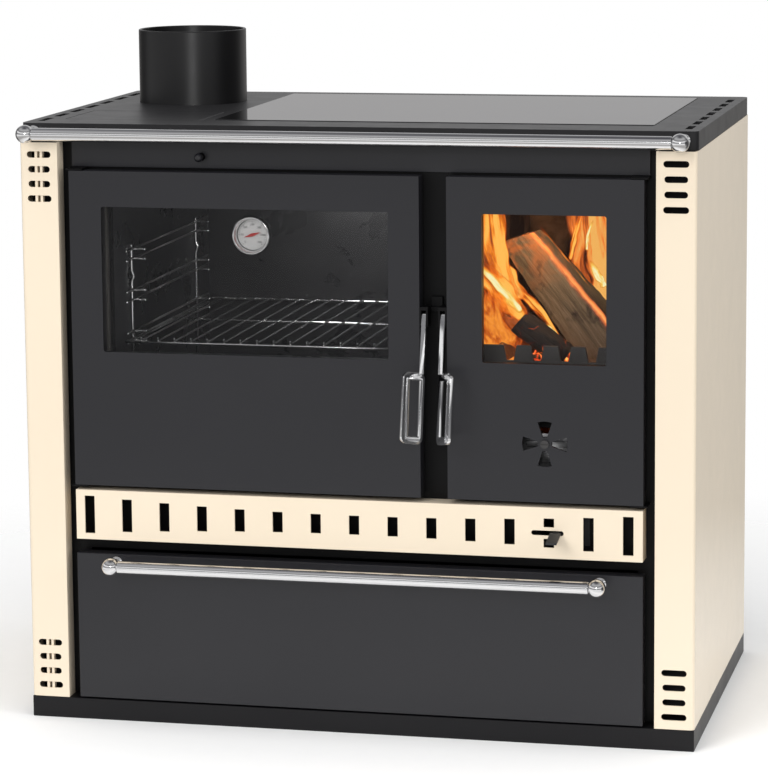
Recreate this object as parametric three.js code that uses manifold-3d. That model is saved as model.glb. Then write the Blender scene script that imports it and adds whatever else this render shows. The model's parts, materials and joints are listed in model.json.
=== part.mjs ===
// Freestanding wood cookstove: an oven on the left, a firebox on the right, a drawer below
// and a glass hob in the top plate. Millimetres, +Z up. The front faces -Y, and the origin is
// the centre of the base's footprint, on the floor.

import * as THREE from 'three';
import Module from 'manifold-3d';
import { mergeVertices } from 'three/addons/utils/BufferGeometryUtils.js';

const wasm = await Module();
wasm.setup();

// ---- driving dimensions ----

const stoveWidth = 950; // over the side panels
const bodyDepth = 560; // without the rails
const hobHeight = 850; // floor to the top plate
const plinthHeight = 30;
const plateHeight = 26; // of the top plate's rim
const plateSheet = 6; // its thickness inside the rim
const stripWidth = 54; // of each side panel's front strip
const doorGap = 38; // between the two doors, where the handles hang
const sideGap = 16; // between the side panels and the doors
const doorDepth = 26;
const doorBottom = 340;
const doorTop = 785;
const windowBottom = 531;
const windowTop = 735;
const ovenDoorWidth = 499;
const ventBottom = 262;
const ventTop = 333;
const drawerTop = 242;
const flueBore = 152; // takes a 150 mm stovepipe
const flueWall = 4;
const flueHeight = 108; // above the top plate
const flueX = -335;
const flueY = 108;
const rodDiameter = 18; // towel rail and drawer rail
const ballRadius = 13;
const fit = 0.3; // gap between pieces that touch
const over = 1; // how far a cutter passes the face that it cuts

const halfW = stoveWidth / 2;
const front = -bodyDepth / 2;
const back = bodyDepth / 2;
const panelTop = hobHeight - plateHeight - fit;
const carcassTop = hobHeight - plateSheet - fit;
const frameFront = front + 32;
const frameBack = frameFront + 4;
const insideFront = frameBack + fit; // where the boxes behind the front frame start
const insideBack = back - 5.3;
const doorLeft = -halfW + stripWidth + 1 + sideGap;
const doorRight = -doorLeft;
const ovenDoorRight = doorLeft + ovenDoorWidth;
const fireDoorLeft = ovenDoorRight + doorGap;

// ---- materials ----

const finish = (color, roughness, metalness = 0) =>
  new THREE.MeshStandardMaterial({ color, roughness, metalness });
const cream = finish('#f3e7cf', 0.3);
const anthracite = finish('#3c3b3f', 0.5);
const plateGrey = finish('#55555a', 0.5, 0.1);
const black = finish('#1a1a1c', 0.6);
const chrome = finish('#d0d0d2', 0.15, 1);
const steel = finish('#8b8b8d', 0.4, 0.9);
const ironGrey = finish('#3a3837', 0.8, 0.3);
const firebrick = finish('#b59b78', 0.95);
const ropeGrey = finish('#4a4743', 1);
const white = finish('#f2f0ea', 0.4);
const red = finish('#c0261d', 0.4);
const glass = new THREE.MeshStandardMaterial({
  color: '#1c1d1f', roughness: 0.05, transparent: true, opacity: 0.35,
});
const hobBlack = finish('#0e0e10', 0.08);

// ---- geometry helpers ----

const axisX = new THREE.Vector3(1, 0, 0);
const axisY = new THREE.Vector3(0, 1, 0);
const axisZ = new THREE.Vector3(0, 0, 1);
const layXZ = new THREE.Matrix4().makeBasis(axisX, axisZ, axisY.clone().negate());
const layYZ = new THREE.Matrix4().makeBasis(axisY, axisZ, axisX);

// A box from its lowest to its highest corner.
function box(x0, x1, y0, y1, z0, z1) {
  const g = new THREE.BoxGeometry(x1 - x0, y1 - y0, z1 - z0);
  return g.translate((x0 + x1) / 2, (y0 + y1) / 2, (z0 + z1) / 2);
}

function extrude(shape, depth, curveSegments = 6) {
  return new THREE.ExtrudeGeometry(shape, { depth, bevelEnabled: false, curveSegments });
}

// A shape drawn in X and Y, standing from z0 to z1.
const upright = (shape, z0, z1, n) => extrude(shape, z1 - z0, n).translate(0, 0, z0);
// A shape drawn in X and Z, thick from y0 to y1.
const facing = (shape, y0, y1, n) => extrude(shape, y1 - y0, n).applyMatrix4(layXZ).translate(0, y1, 0);
// A shape drawn in Y and Z, long from x0 to x1.
const across = (shape, x0, x1, n) => extrude(shape, x1 - x0, n).applyMatrix4(layYZ).translate(x0, 0, 0);

// A rectangle with round corners, as a Shape or, for a hole, a Path.
function rounded(x0, x1, y0, y1, r, Kind = THREE.Shape) {
  const p = new Kind();
  if (r <= 0) {
    p.moveTo(x0, y0).lineTo(x1, y0).lineTo(x1, y1).lineTo(x0, y1).closePath();
    return p;
  }
  const q = Math.PI / 2;
  p.moveTo(x0 + r, y0);
  p.lineTo(x1 - r, y0).absarc(x1 - r, y0 + r, r, -q, 0);
  p.lineTo(x1, y1 - r).absarc(x1 - r, y1 - r, r, 0, q);
  p.lineTo(x0 + r, y1).absarc(x0 + r, y1 - r, r, q, 2 * q);
  p.lineTo(x0, y0 + r).absarc(x0 + r, y0 + r, r, 2 * q, 3 * q);
  return p;
}

// An oblong hole or peg with round ends, along the first or the second axis of its plane.
function oblong(x, y, length, width, along = true) {
  const [a, b] = along ? [length / 2, width / 2] : [width / 2, length / 2];
  return rounded(x - a, x + a, y - b, y + b, width / 2 - 0.01);
}

function outline(points) {
  return new THREE.Shape(points.map(([x, y]) => new THREE.Vector2(x, y)));
}

// A frame: the outer rectangle with the inner one taken out.
function frameShape(outer, inner, r = 0, rInner = r) {
  const shape = rounded(...outer, r);
  shape.holes.push(rounded(...inner, rInner, THREE.Path));
  return shape;
}

function rod(radius, length, sides = 16) {
  return new THREE.CylinderGeometry(radius, radius, length, sides);
}
const rodX = (r, x0, x1, y, z, n) => rod(r, x1 - x0, n).rotateZ(Math.PI / 2).translate((x0 + x1) / 2, y, z);
const rodY = (r, y0, y1, x, z, n) => rod(r, y1 - y0, n).translate(x, (y0 + y1) / 2, z);
const rodZ = (r, z0, z1, x, y, n) => rod(r, z1 - z0, n).rotateX(Math.PI / 2).translate(x, y, (z0 + z1) / 2);

// A closed profile of [radius, height] pairs, turned about the Z axis.
function turned(profile, sides = 32) {
  const points = [...profile, profile[0]].map(([r, z]) => new THREE.Vector2(r, z));
  return new THREE.LatheGeometry(points, sides).rotateX(Math.PI / 2);
}

// ---- joining and cutting ----

function toSolid(geometry) {
  const g = geometry.clone();
  g.deleteAttribute('normal');
  g.deleteAttribute('uv');
  const merged = mergeVertices(g, 1e-4);
  return new wasm.Manifold(new wasm.Mesh({
    numProp: 3,
    vertProperties: merged.attributes.position.array,
    triVerts: new Uint32Array(merged.index.array),
  }));
}

function toGeometry(solid) {
  const mesh = solid.getMesh();
  const g = new THREE.BufferGeometry();
  g.setAttribute('position', new THREE.BufferAttribute(mesh.vertProperties, 3));
  g.setIndex(new THREE.BufferAttribute(mesh.triVerts, 1));
  g.computeVertexNormals();
  return g;
}

// Joins the pieces of `add`, then cuts those of `cut` away.
function carve(add, cut = []) {
  let solid = add.map(toSolid).reduce((a, b) => a.add(b));
  for (const tool of cut) solid = solid.subtract(toSolid(tool));
  return toGeometry(solid);
}

// ---- the scene graph ----

const stove = new THREE.Group();

function part(name, geometry, material) {
  const mesh = new THREE.Mesh(geometry, material);
  mesh.name = name;
  stove.add(mesh);
  return mesh;
}

// The same geometry on the other side of the stove.
function mirrored(geometry) {
  const g = geometry.index ? geometry.toNonIndexed() : geometry.clone();
  g.scale(-1, 1, 1);
  const p = g.attributes.position.array;
  for (let i = 0; i < p.length; i += 9) {
    for (let k = 0; k < 3; k += 1) [p[i + 3 + k], p[i + 6 + k]] = [p[i + 6 + k], p[i + 3 + k]];
  }
  g.deleteAttribute('uv');
  g.computeVertexNormals();
  return g;
}

// ---- base, panels and carcass ----

const sheet = 2.5; // enamelled panels and doors
const thinSheet = 2; // inner casing
const plinthFlange = 28;
const crossRail = 60; // the channel under the middle, which carries the origin
const crossRailInset = 20; // of its ends from the flange
const plinthWall = 3;

function basePlinth() {
  const wall = plinthWall;
  const z1 = plinthHeight;
  const body = box(-halfW, halfW, front, back, 0, z1);
  const hollow = box(-halfW + wall, halfW - wall, front + wall, back - wall, wall, z1 - wall);
  const f = plinthFlange;
  const mouth = box(-halfW + f, halfW - f, front + f, back - f, -over, wall + over);
  const c = crossRail / 2;
  const railEnd = back - plinthFlange - crossRailInset;
  const shell = carve([body], [hollow, mouth]);
  const rail = carve(
    [box(-c, c, -railEnd, railEnd, 0, z1 - wall + over)],
    [box(-c + wall, c - wall, -railEnd - over, railEnd + over, wall, z1 - wall)],
  );
  part('base_plinth', carve([shell, rail]), anthracite);
}

const slotLength = 35;
const slotHeight = 9;
const slotPitch = 20.6;
const slotInset = 17; // of the outermost slot from the end of the strip
const slotsPerEnd = 4;
const innerSlotCut = 3; // by how much the inner slots are shorter
const panelFold = 6; // radius of the front corner
const returnDepth = 26;
const backReturn = 35;
const ribPlaces = [444.2, 451.6]; // stiffening ribs behind the left strip's slots
const ribWidth = 3.6;
const ribDepth = 7;
const ribInset = 8; // of the ribs from the ends of the strip

// A panel's section: the side, the front strip with its return, and a fold at the back.
function panelSection() {
  const x = halfW;
  const t = sheet;
  const strip = x - stripWidth - 1;
  const fold = (r, inward) => {
    const points = [];
    for (let i = 0; i <= 4; i += 1) {
      const a = (i / 4) * Math.PI / 2;
      points.push([x - panelFold + r * Math.cos(a), front + panelFold - r * Math.sin(a)]);
    }
    return inward ? points.reverse() : points;
  };
  return outline([
    [x - backReturn, back], [x, back], ...fold(panelFold, false),
    [strip, front], [strip, front + returnDepth], [strip + t, front + returnDepth],
    [strip + t, front + t], ...fold(panelFold - t, true),
    [x - t, back - t], [x - backReturn, back - t],
  ]);
}

function sidePanels() {
  const z0 = plinthHeight + fit;
  const x = halfW - 1 - stripWidth / 2;
  const cuts = [];
  for (let i = 0; i < slotsPerEnd; i += 1) {
    const outermost = i === 0 || i === slotsPerEnd - 1;
    const length = outermost ? slotLength : slotLength - innerSlotCut;
    for (const z of [z0 + slotInset + i * slotPitch, panelTop - slotInset - i * slotPitch]) {
      cuts.push(facing(oblong(x, z, length, slotHeight), front - over, front + sheet + over, 2));
    }
  }
  const right = carve([upright(panelSection(), z0, panelTop)], cuts);
  part('right_side_panel', right, cream);
  const ribs = ribPlaces.map((rib) => box(
    -rib - ribWidth / 2, -rib + ribWidth / 2,
    front + sheet - over, front + sheet + ribDepth, z0 + ribInset, panelTop - ribInset,
  ));
  part('left_side_panel', carve([mirrored(right), ...ribs]), cream);
}

const carcassX = 440; // inner face of the body's side sheets
const compartmentFloor = 246; // above the drawer

function carcass() {
  const z0 = plinthHeight + fit;
  const side = box(carcassX, carcassX + thinSheet, insideFront, insideBack, z0, carcassTop);
  part('body_side_right', side, black);
  part('body_side_left', mirrored(side), black);
  const x = carcassX - fit;
  const floor = box(-x, x, insideFront, insideBack, compartmentFloor, compartmentFloor + thinSheet);
  part('body_floor', floor, black);
}

const backSlotRows = [110, 740];
const backSlotsPerRow = 9;
const backSlotPitch = 80;
const backSlotLength = 50;
const backSlotHeight = 8;

function backPanel() {
  const x = halfW - sheet - 2;
  const z0 = plinthHeight + fit;
  const slots = [];
  const a = backSlotLength / 2;
  const b = backSlotHeight / 2;
  for (const z of backSlotRows) {
    for (let i = 0; i < backSlotsPerRow; i += 1) {
      const cx = (i - (backSlotsPerRow - 1) / 2) * backSlotPitch;
      slots.push(box(cx - a, cx + a, insideBack, back, z - b, z + b));
    }
  }
  const sheetMetal = box(-x, x, insideBack + fit, back - sheet - fit, z0, panelTop);
  part('back_panel', carve([sheetMetal], slots), black);
}

// ---- front frame and what is fixed to it ----

const ovenLeft = -352;
const ovenRight = 45;
const ovenBottom = 398;
const ovenTop = 745;
const fireLeft = 172;
const fireRight = 366;
const fireBottom = 478;
const fireTop = 752;
const ashBottom = 357;
const ashTop = 438;
const drawerOpening = 392; // half its width
const airLeft = 256; // primary air opening behind the vent strip
const airRight = 282;
const airBottom = 278;
const airTop = 318;
const damperX = -220;
const damperZ = 804;
const damperHole = 5.5; // radius of the rod's hole in the frame and the fascia
const drawerMouth = 40; // lower edge of the drawer's opening
const guideLeft = 246;
const guideRight = 334;

function frontFrame() {
  const x = halfW - sheet - 4.5;
  const shape = rounded(-x, x, plinthHeight + fit, carcassTop, 0);
  const hole = (...size) => shape.holes.push(rounded(...size, THREE.Path));
  hole(ovenLeft, ovenRight, ovenBottom, ovenTop, 0);
  hole(fireLeft, fireRight, fireBottom, fireTop, 0);
  hole(fireLeft, fireRight, ashBottom, ashTop, 0);
  hole(-drawerOpening, drawerOpening, drawerMouth, drawerTop + 1, 0);
  hole(airLeft, airRight, airBottom, airTop, 0);
  const r = damperHole;
  hole(damperX - r, damperX + r, damperZ - r, damperZ + r, r - 0.5);
  const plate = facing(shape, frameFront, frameBack, 3);
  // Two guide strips hold the air slide flat against the frame.
  const guide = (z) => box(guideLeft, guideRight, frameFront - 3, frameFront + over, z, z + 4);
  part('front_frame', carve([plate, guide(airTop + 4), guide(airBottom - 8)]), black);
}

const fasciaHalf = 408;

function frontFascia() {
  const shape = rounded(-fasciaHalf, fasciaHalf, doorTop + 3, hobHeight - plateHeight - fit * 2, 0);
  const r = damperHole;
  shape.holes.push(rounded(damperX - r, damperX + r, damperZ - r, damperZ + r, r - 0.5, THREE.Path));
  part('front_fascia', facing(shape, frameFront - 4, frameFront - fit, 3), anthracite);
}

const ventHalf = 403.5;
const ventSlots = 15;
const ventPitch = 54.8;
const ventSlotWidth = 14.6;
const leverSlot = 5; // steps right of the middle slot
const leverSlotLength = 45;
const leverSlotHeight = 7;
const leverBridge = 8; // half the height left between the slots above and below the lever's

// Slot heights grow from the middle of the strip to its ends.
const ventSlotHeight = (step) => 27 + 27 * (step / 7) ** 2;

function ventStrip() {
  const z = (ventBottom + ventTop) / 2;
  const t = thinSheet;
  const hollowX = ventHalf - t;
  const cuts = [box(-hollowX, hollowX, front + sheet, frameFront + over, ventBottom + t, ventTop - t)];
  const cutter = (x0, x1, z0, z1) => box(x0, x1, front - over, front + sheet + over, z0, z1);
  for (let i = 0; i < ventSlots; i += 1) {
    const step = i - (ventSlots - 1) / 2;
    const x = step * ventPitch;
    const w = ventSlotWidth / 2;
    const h = ventSlotHeight(step) / 2;
    if (step === leverSlot) {
      cuts.push(cutter(x - w, x + w, z + leverBridge, z + h), cutter(x - w, x + w, z - h, z - leverBridge));
      const slot = oblong(x - 2, z, leverSlotLength, leverSlotHeight);
      cuts.push(facing(slot, front - over, front + sheet + over, 4));
    } else {
      cuts.push(cutter(x - w, x + w, z - h, z + h));
    }
  }
  const pan = box(-ventHalf, ventHalf, front, frameFront - fit, ventBottom, ventTop);
  part('vent_strip', carve([pan], cuts), cream);
}

const leverX = 283.5;
const leverTab = 15; // width of the part in front of the strip
const leverTabReach = 34;
const leverTabDrop = 7; // from its root to its tip

const airSlideLeft = 284; // shuts the opening once it is pushed 30 mm to the left
const airSlideWidth = 42;

function airLever() {
  const z = (ventBottom + ventTop) / 2;
  const y1 = frameFront - fit;
  const slide = box(
    airSlideLeft, airSlideLeft + airSlideWidth, y1 - 2.6, y1, airBottom - 3, airTop + 3,
  );
  const stem = box(leverX - 3, leverX + 3, front - 5, y1 - 1, z - 1.5, z + 1.5);
  // The finger tab leans down towards its tip.
  const [root, tip] = [front - 2, front - 2 - leverTabReach];
  const drop = z - leverTabDrop;
  const side = outline([[root, z + 1.5], [root, z - 1.5], [tip, drop - 1.5], [tip, drop + 1.5]]);
  const tab = across(side, leverX - leverTab / 2, leverX + leverTab / 2);
  part('air_lever', carve([slide, stem, tab]), black);
}

const damperDivider = 794; // height of the smoke divider under the flue
const damperHalf = 65; // half the width of the opening that the damper covers
const damperFront = flueY - 8;
const damperBack = flueY + 72;
const damperLap = 6;
const damperStem = 4; // radius
const damperKnob = 6; // radius

function damper() {
  const knobY = front + 16;
  const plateZ = damperDivider + thinSheet + fit;
  const stem = rodY(damperStem, knobY, damperFront + 5, damperX, damperZ, 10);
  const knob = new THREE.SphereGeometry(damperKnob, 12, 7).translate(damperX, knobY, damperZ);
  const plate = box(
    flueX - damperHalf - damperLap, damperX + 8,
    damperFront - damperLap, damperBack + damperLap, plateZ, plateZ + 2,
  );
  const lug = box(damperX - 6, damperX + 6, damperFront - 3, damperFront + 7, plateZ + 1, damperZ + 5);
  part('damper_rod', carve([stem, knob, plate, lug]), ironGrey);
}

const dividerRight = -205;
const dividerFront = -10;
const dividerBack = 240;

function smokeDivider() {
  const shape = rounded(-carcassX + fit, dividerRight, dividerFront, dividerBack, 0);
  shape.holes.push(rounded(
    flueX - damperHalf, flueX + damperHalf, damperFront, damperBack, 4, THREE.Path,
  ));
  part('smoke_divider', upright(shape, damperDivider, damperDivider + thinSheet), black);
}

// ---- top plate, hob and flue ----

const glassLeft = -216;
const glassRight = 404;
const glassFront = -195;
const glassBack = 243;
const inlay = 3; // how deep the glass and the cleaning plate sit in the plate
const inlayLedge = 14;
const coverLeft = -432; // cleaning plate
const coverRight = -236;
const coverFront = -205;
const coverBack = -70;
const dashCount = 7;
const dashPitch = 70;
const dashX = 457;
const dashLength = 46;
const dashWidth = 10;
const plateRim = 4;
const plateCorner = 10; // radius
const plateInset = 10; // of its front edge from the stove's

function topPlate() {
  const z1 = hobHeight;
  const y0 = front + plateInset;
  const outer = upright(rounded(-halfW, halfW, y0, back, plateCorner), z1 - plateHeight, z1, 5);
  const rim = plateRim;
  const hollow = box(
    -halfW + rim, halfW - rim, y0 + rim, back - rim, z1 - plateHeight - over, z1 - plateSheet,
  );
  const gap = 0.8;
  const recess = (x0, x1, a, b, r) =>
    upright(rounded(x0 - gap, x1 + gap, a - gap, b + gap, r), z1 - inlay - fit, z1 + over, 3);
  const cutBottom = z1 - plateSheet - 3;
  const l = inlayLedge;
  const through = (x0, x1, a, b) =>
    upright(rounded(x0 + l, x1 - l, a + l, b - l, 4), cutBottom, z1 + over, 2);
  const cuts = [
    hollow,
    recess(glassLeft, glassRight, glassFront, glassBack, 3),
    through(glassLeft, glassRight, glassFront, glassBack),
    recess(coverLeft, coverRight, coverFront, coverBack, 6),
    through(coverLeft, coverRight, coverFront, coverBack),
    rodZ(flueBore / 2 + flueWall + fit, cutBottom, z1 + over, flueX, flueY, 32),
  ];
  for (let i = 0; i < dashCount; i += 1) {
    const y = (i - (dashCount - 1) / 2) * dashPitch - 5;
    const [w, d] = [dashWidth / 2, dashLength / 2];
    for (const x of [-dashX, dashX]) {
      cuts.push(box(x - w, x + w, y - d, y + d, cutBottom, z1 + over));
    }
  }
  part('top_plate', carve([outer], cuts), plateGrey);
}

function hobAndCover() {
  const z = hobHeight;
  const glassShape = rounded(glassLeft, glassRight, glassFront, glassBack, 3);
  part('hob_glass', upright(glassShape, z - inlay, z + 1, 2), hobBlack);
  const coverShape = rounded(coverLeft, coverRight, coverFront, coverBack, 6);
  part('cleaning_plate', upright(coverShape, z - inlay, z, 3), plateGrey);
}

// The collar stands in the plate's hole, and its flange bears on the plate from below.
const collarFlange = 12; // beyond the pipe
const collarFlangeHeight = 6;

function flueCollar() {
  const r0 = flueBore / 2;
  const r1 = r0 + flueWall;
  const r2 = r1 + collarFlange;
  const low = carcassTop - collarFlangeHeight;
  const profile = [
    [r0, low], [r2, low], [r2, carcassTop],
    [r1, carcassTop], [r1, hobHeight + flueHeight], [r0, hobHeight + flueHeight],
  ];
  part('flue_collar', turned(profile, 32).translate(flueX, flueY, 0), anthracite);
}

// ---- rails ----

const railY = front - 30;
const towelRailSpan = 456; // from the middle to each ball
const towelRailZ = 838;
const drawerRailSpan = 345;
const drawerRailZ = 230;
const postRadius = 5.5;

// A rail's end: a ball on a post, with a flange against the face that carries it.
function railEnd(x, z, faceY, flange) {
  const ball = new THREE.SphereGeometry(ballRadius, 16, 9).translate(x, railY, z);
  const post = rodY(postRadius, railY, faceY - 1, x, z, 10);
  const disc = rodY(flange, faceY - 3 - fit, faceY - fit, x, z, 16);
  return carve([ball, post, disc]);
}

function rail(name, halfSpan, z, faceY, flange) {
  const right = railEnd(halfSpan, z, faceY, flange);
  part(`${name}_end_right`, right, chrome);
  part(`${name}_end_left`, mirrored(right), chrome);
  const r = rodDiameter / 2;
  // The rod stops where its rim meets the ball.
  const reach = halfSpan - Math.sqrt(ballRadius ** 2 - r ** 2) - fit * 2;
  const ballCut = new THREE.SphereGeometry(ballRadius + fit, 16, 9);
  const bar = carve(
    [rodX(r, -reach - 3, reach + 3, railY, z, 16)],
    [ballCut.clone().translate(halfSpan, railY, z), ballCut.clone().translate(-halfSpan, railY, z)],
  );
  part(name, bar, chrome);
}

// ---- oven ----

const ovenBack = 232;

function ovenBox() {
  const t = thinSheet;
  const outer = box(ovenLeft - t, ovenRight + t, insideFront, ovenBack + t, ovenBottom - 8, ovenTop + 7);
  const inner = box(ovenLeft, ovenRight, insideFront - over, ovenBack, ovenBottom - 6, ovenTop + 5);
  part('oven_box', carve([outer], [inner]), black);
}

const shelfZ = 533.3; // underside of the shelf's frame
const runnerPairs = [531, 590, 649]; // height of the lower runner of each pair
const pairGap = 14;
const wire = 4;
const ladderPosts = [-170, 155];
const ladderFoot = 430;
const ladderTop = 668;
const runnerReach = 205; // of the runners to the front and to the back

// A wire ladder on the oven wall: two posts and three pairs of runners.
function rackSupports() {
  const postX = ovenLeft + 0.5;
  const pieces = [];
  for (const y of ladderPosts) {
    pieces.push(box(postX, postX + wire, y - wire / 2, y + wire / 2, ladderFoot, ladderTop));
  }
  const x0 = postX + wire - 1;
  for (const z of runnerPairs) {
    for (const level of [z, z + pairGap]) {
      pieces.push(box(x0, x0 + wire, -runnerReach, runnerReach, level - wire / 2, level + wire / 2));
    }
  }
  const left = carve(pieces);
  part('rack_support_left', left, steel);
  const middle = ovenLeft + ovenRight;
  part('rack_support_right', mirrored(left).translate(middle, 0, 0), steel);
}

const shelfInset = 4.8; // of the shelf from the oven walls
const shelfFront = -216;
const shelfBack = 226;
const shelfWires = 15;

function ovenShelf() {
  const x0 = ovenLeft + shelfInset;
  const x1 = ovenRight - shelfInset;
  const [y0, y1] = [shelfFront, shelfBack];
  const z = shelfZ;
  const pieces = [];
  for (const y of [y0, (y0 + y1) / 2, y1 - wire]) pieces.push(box(x0, x1, y, y + wire, z, z + wire));
  for (const x of [x0, x1 - wire]) pieces.push(box(x, x + wire, y0 + 1, y1 - 1, z, z + wire));
  const pitch = (x1 - x0) / (shelfWires + 1);
  for (let i = 1; i <= shelfWires; i += 1) {
    const x = x0 + i * pitch;
    pieces.push(box(x - 1.5, x + 1.5, y0 + 1, y1 - 1, z + wire - 1, z + wire + 2));
  }
  part('oven_shelf', carve(pieces), chrome);
}

// ---- firebox ----

const boxLeft = 128;
const boxRight = 412;
const boxBack = 215;
const ledgeZ = 448;
const brick = 30;
const casing = 3;
const throatZ = 770; // top of the firebox's left wall
const ledgeWidth = 37;
const ledgeHeight = 7.7;
const airInlet = [230, 310, -235, -160]; // in the ashpit's floor

function fireboxShell() {
  const top = carcassTop - 4;
  const outer = box(boxLeft, boxRight, insideFront, boxBack, ashBottom - 2, top);
  const x0 = boxLeft + casing;
  const x1 = boxRight - casing;
  const y1 = boxBack - casing;
  const upper = box(x0, x1, insideFront - over, y1, ledgeZ + ledgeHeight, top + over);
  const lower = box(x0, x1, insideFront - over, y1, ashBottom + 1, ledgeZ);
  // Inside the ledge that carries the grate and the bricks.
  const l = ledgeWidth;
  const grateHole = box(x0 + l, x1 - l, insideFront + 13, y1 - l, ledgeZ - over, ledgeZ + 9);
  // The smoke leaves over the low left wall.
  const throat = box(boxLeft - over, x0 + over, insideFront - over, boxBack + over, throatZ, top + over);
  const inlet = box(...airInlet, ashBottom - 3, ashBottom + 2);
  part('firebox_shell', carve([outer], [upper, lower, grateHole, throat, inlet]), black);
}

const brickTop = 740;
const brickBottom = ledgeZ + 8;

function firebricks() {
  const x0 = boxLeft + casing + fit;
  const x1 = boxRight - casing - fit;
  const y0 = insideFront + fit;
  const y1 = boxBack - casing - fit;
  part('firebrick_left', box(x0, x0 + brick, y0, y1, brickBottom, brickTop), firebrick);
  part('firebrick_right', box(x1 - brick, x1, y0, y1, brickBottom, brickTop), firebrick);
  const between = [x0 + brick + fit, x1 - brick - fit];
  part('firebrick_back', box(...between, y1 - brick, y1, brickBottom, brickTop), firebrick);
}

const grateTop = 470;
const grateColumns = 8;
const grateColumnPitch = 22;
const grateRowPitch = 190;
const grateSlot = [10, 160];

function grate() {
  const x0 = boxLeft + casing + brick + 3 * fit;
  const x1 = boxRight - casing - brick - 3 * fit;
  const y0 = insideFront + fit;
  const y1 = boxBack - casing - brick - 3 * fit;
  const slots = [];
  const [w, d] = grateSlot.map((size) => size / 2);
  for (let row = 0; row < 2; row += 1) {
    for (let i = 0; i < grateColumns; i += 1) {
      const cx = (x0 + x1) / 2 + (i - (grateColumns - 1) / 2) * grateColumnPitch;
      const cy = (y0 + y1) / 2 + (row - 0.5) * grateRowPitch;
      slots.push(box(cx - w, cx + w, cy - d, cy + d, brickBottom - over, grateTop + over));
    }
  }
  part('grate', carve([box(x0, x1, y0, y1, brickBottom, grateTop)], slots), ironGrey);
}

const guardPitch = 38;
const guardLeft = 164;
const guardRight = 376;
const guardTop = 550;
const guardValley = 529;
const guardNotches = 4;

// A low cast guard behind the fire window, with blunt teeth along its top.
function emberGuard() {
  const [x0, x1, top, valley] = [guardLeft, guardRight, guardTop, guardValley];
  const z0 = grateTop + fit;
  const points = [[x0, z0], [x1, z0], [x1, top]];
  const middle = (x0 + x1) / 2;
  for (let i = guardNotches; i >= 0; i -= 1) {
    const x = middle + (i - guardNotches / 2) * guardPitch;
    if (i < guardNotches) points.push([x + guardPitch - 10, top]);
    if (i < guardNotches) points.push([x + guardPitch - 14, valley], [x + 14, valley]);
    points.push([x + 10, top]);
  }
  points.push([x0, top]);
  const plate = facing(outline(points), insideFront + 3, insideFront + 8);
  const foot = box(x0, x1, insideFront + 4, insideFront + 22, z0, z0 + 5);
  part('ember_guard', carve([plate, foot]), ironGrey);
}

const panPlan = [176, 362, -238, 150];
const panTop = 428;
const panSheet = 2;
const pullZ = 410; // lower edge of the strip that the pan is drawn out by
const pullHalf = 33;

function ashPan() {
  const [x0, x1, y0, y1] = panPlan;
  const z0 = ashBottom + 1 + fit;
  const t = panSheet;
  const hollow = box(x0 + t, x1 - t, y0 + t, y1 - t, z0 + t, panTop + over);
  part('ash_pan', carve([box(x0, x1, y0, y1, z0, panTop)], [hollow]), steel);
  const middle = (x0 + x1) / 2;
  const pull = box(middle - pullHalf, middle + pullHalf, y0 - fit - 4, y0 - fit, pullZ, pullZ + 8);
  part('ash_pan_pull', pull, steel);
}

// ---- doors ----

const frontThickness = 3;
const hingeInsetX = 7; // of the pin's axis from the door's outer edge
const hingeInsetY = 8; // and from its front
const pinRadius = 3.5;
const pinReach = 15;
const glassY = front + frontThickness + fit;
const linerY = front + 22;
const sealWidth = 9;
const hingeSheet = 2.2;
const hingeGap = 0.4; // between the hinge plates and the door
const hingeHalf = 12;

function doorPan(x0, x1, window, hingeX, extraCuts) {
  const t = sheet;
  const y1 = front + doorDepth;
  const outer = box(x0, x1, front, y1, doorBottom, doorTop);
  const hollow = box(x0 + t, x1 - t, front + frontThickness, y1 + over, doorBottom + t, doorTop - t);
  const opening = facing(rounded(...window, windowBottom, windowTop, 3), front - 1, front + 5, 3);
  const pinHole = rodZ(pinRadius + 0.6, doorBottom - 1, doorTop + 1, hingeX, front + hingeInsetY, 12);
  return carve([outer], [hollow, opening, pinHole, ...extraCuts]);
}

// The inner sheet of a door, with an upstand that holds the glass against the front.
function doorLiner(x0, x1, window, extra, cuts) {
  const gap = sheet + fit;
  const [w0, w1] = window;
  const around = [w0 - 4, w1 + 4, windowBottom - 4, windowTop + 4];
  const inside = [w0 - 2, w1 + 2, windowBottom - 2, windowTop + 2];
  const plate = facing(
    frameShape([x0 + gap, x1 - gap, doorBottom + gap, doorTop - gap], inside), linerY, linerY + 2,
  );
  const upstand = facing(frameShape(around, inside), glassY + 4 + fit, linerY + 1);
  return carve([plate, upstand, ...extra], cuts);
}

const doorGlass = ([w0, w1]) =>
  facing(rounded(w0 - 8, w1 + 8, windowBottom - 8, windowTop + 8, 2), glassY, glassY + 4, 3);

// A rope seal that lies on the liner and meets the front frame.
function doorSeal(x0, x1, z0, z1) {
  const w = sealWidth;
  const ring = frameShape([x0 - w, x1 + w, z0 - w, z1 + w], [x0, x1, z0, z1], w + 3, 3);
  return facing(ring, linerY + 2 + fit, frameFront - fit, 2);
}

// A plate on the front frame, with a pin that the door hangs on.
function hinge(x, plateZ, pinDown) {
  const y = front + hingeInsetY;
  const t = hingeSheet;
  const plate = box(x - hingeHalf, x + hingeHalf, y - 7, frameFront - fit, plateZ, plateZ + t);
  const ends = pinDown ? [plateZ - pinReach, plateZ + 1] : [plateZ + 1, plateZ + t + pinReach];
  return carve([plate, rodZ(pinRadius, ...ends, x, y, 12)]);
}

function hinges() {
  const above = doorTop + hingeGap;
  const below = doorBottom - hingeGap - hingeSheet;
  const x = doorRight - hingeInsetX;
  part('fire_hinge_upper', hinge(x, above, true), ironGrey);
  part('fire_hinge_lower', hinge(x, below, false), ironGrey);
  part('oven_hinge_upper', hinge(-x, above, true), ironGrey);
  part('oven_hinge_lower', hinge(-x, below, false), ironGrey);
}

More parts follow.
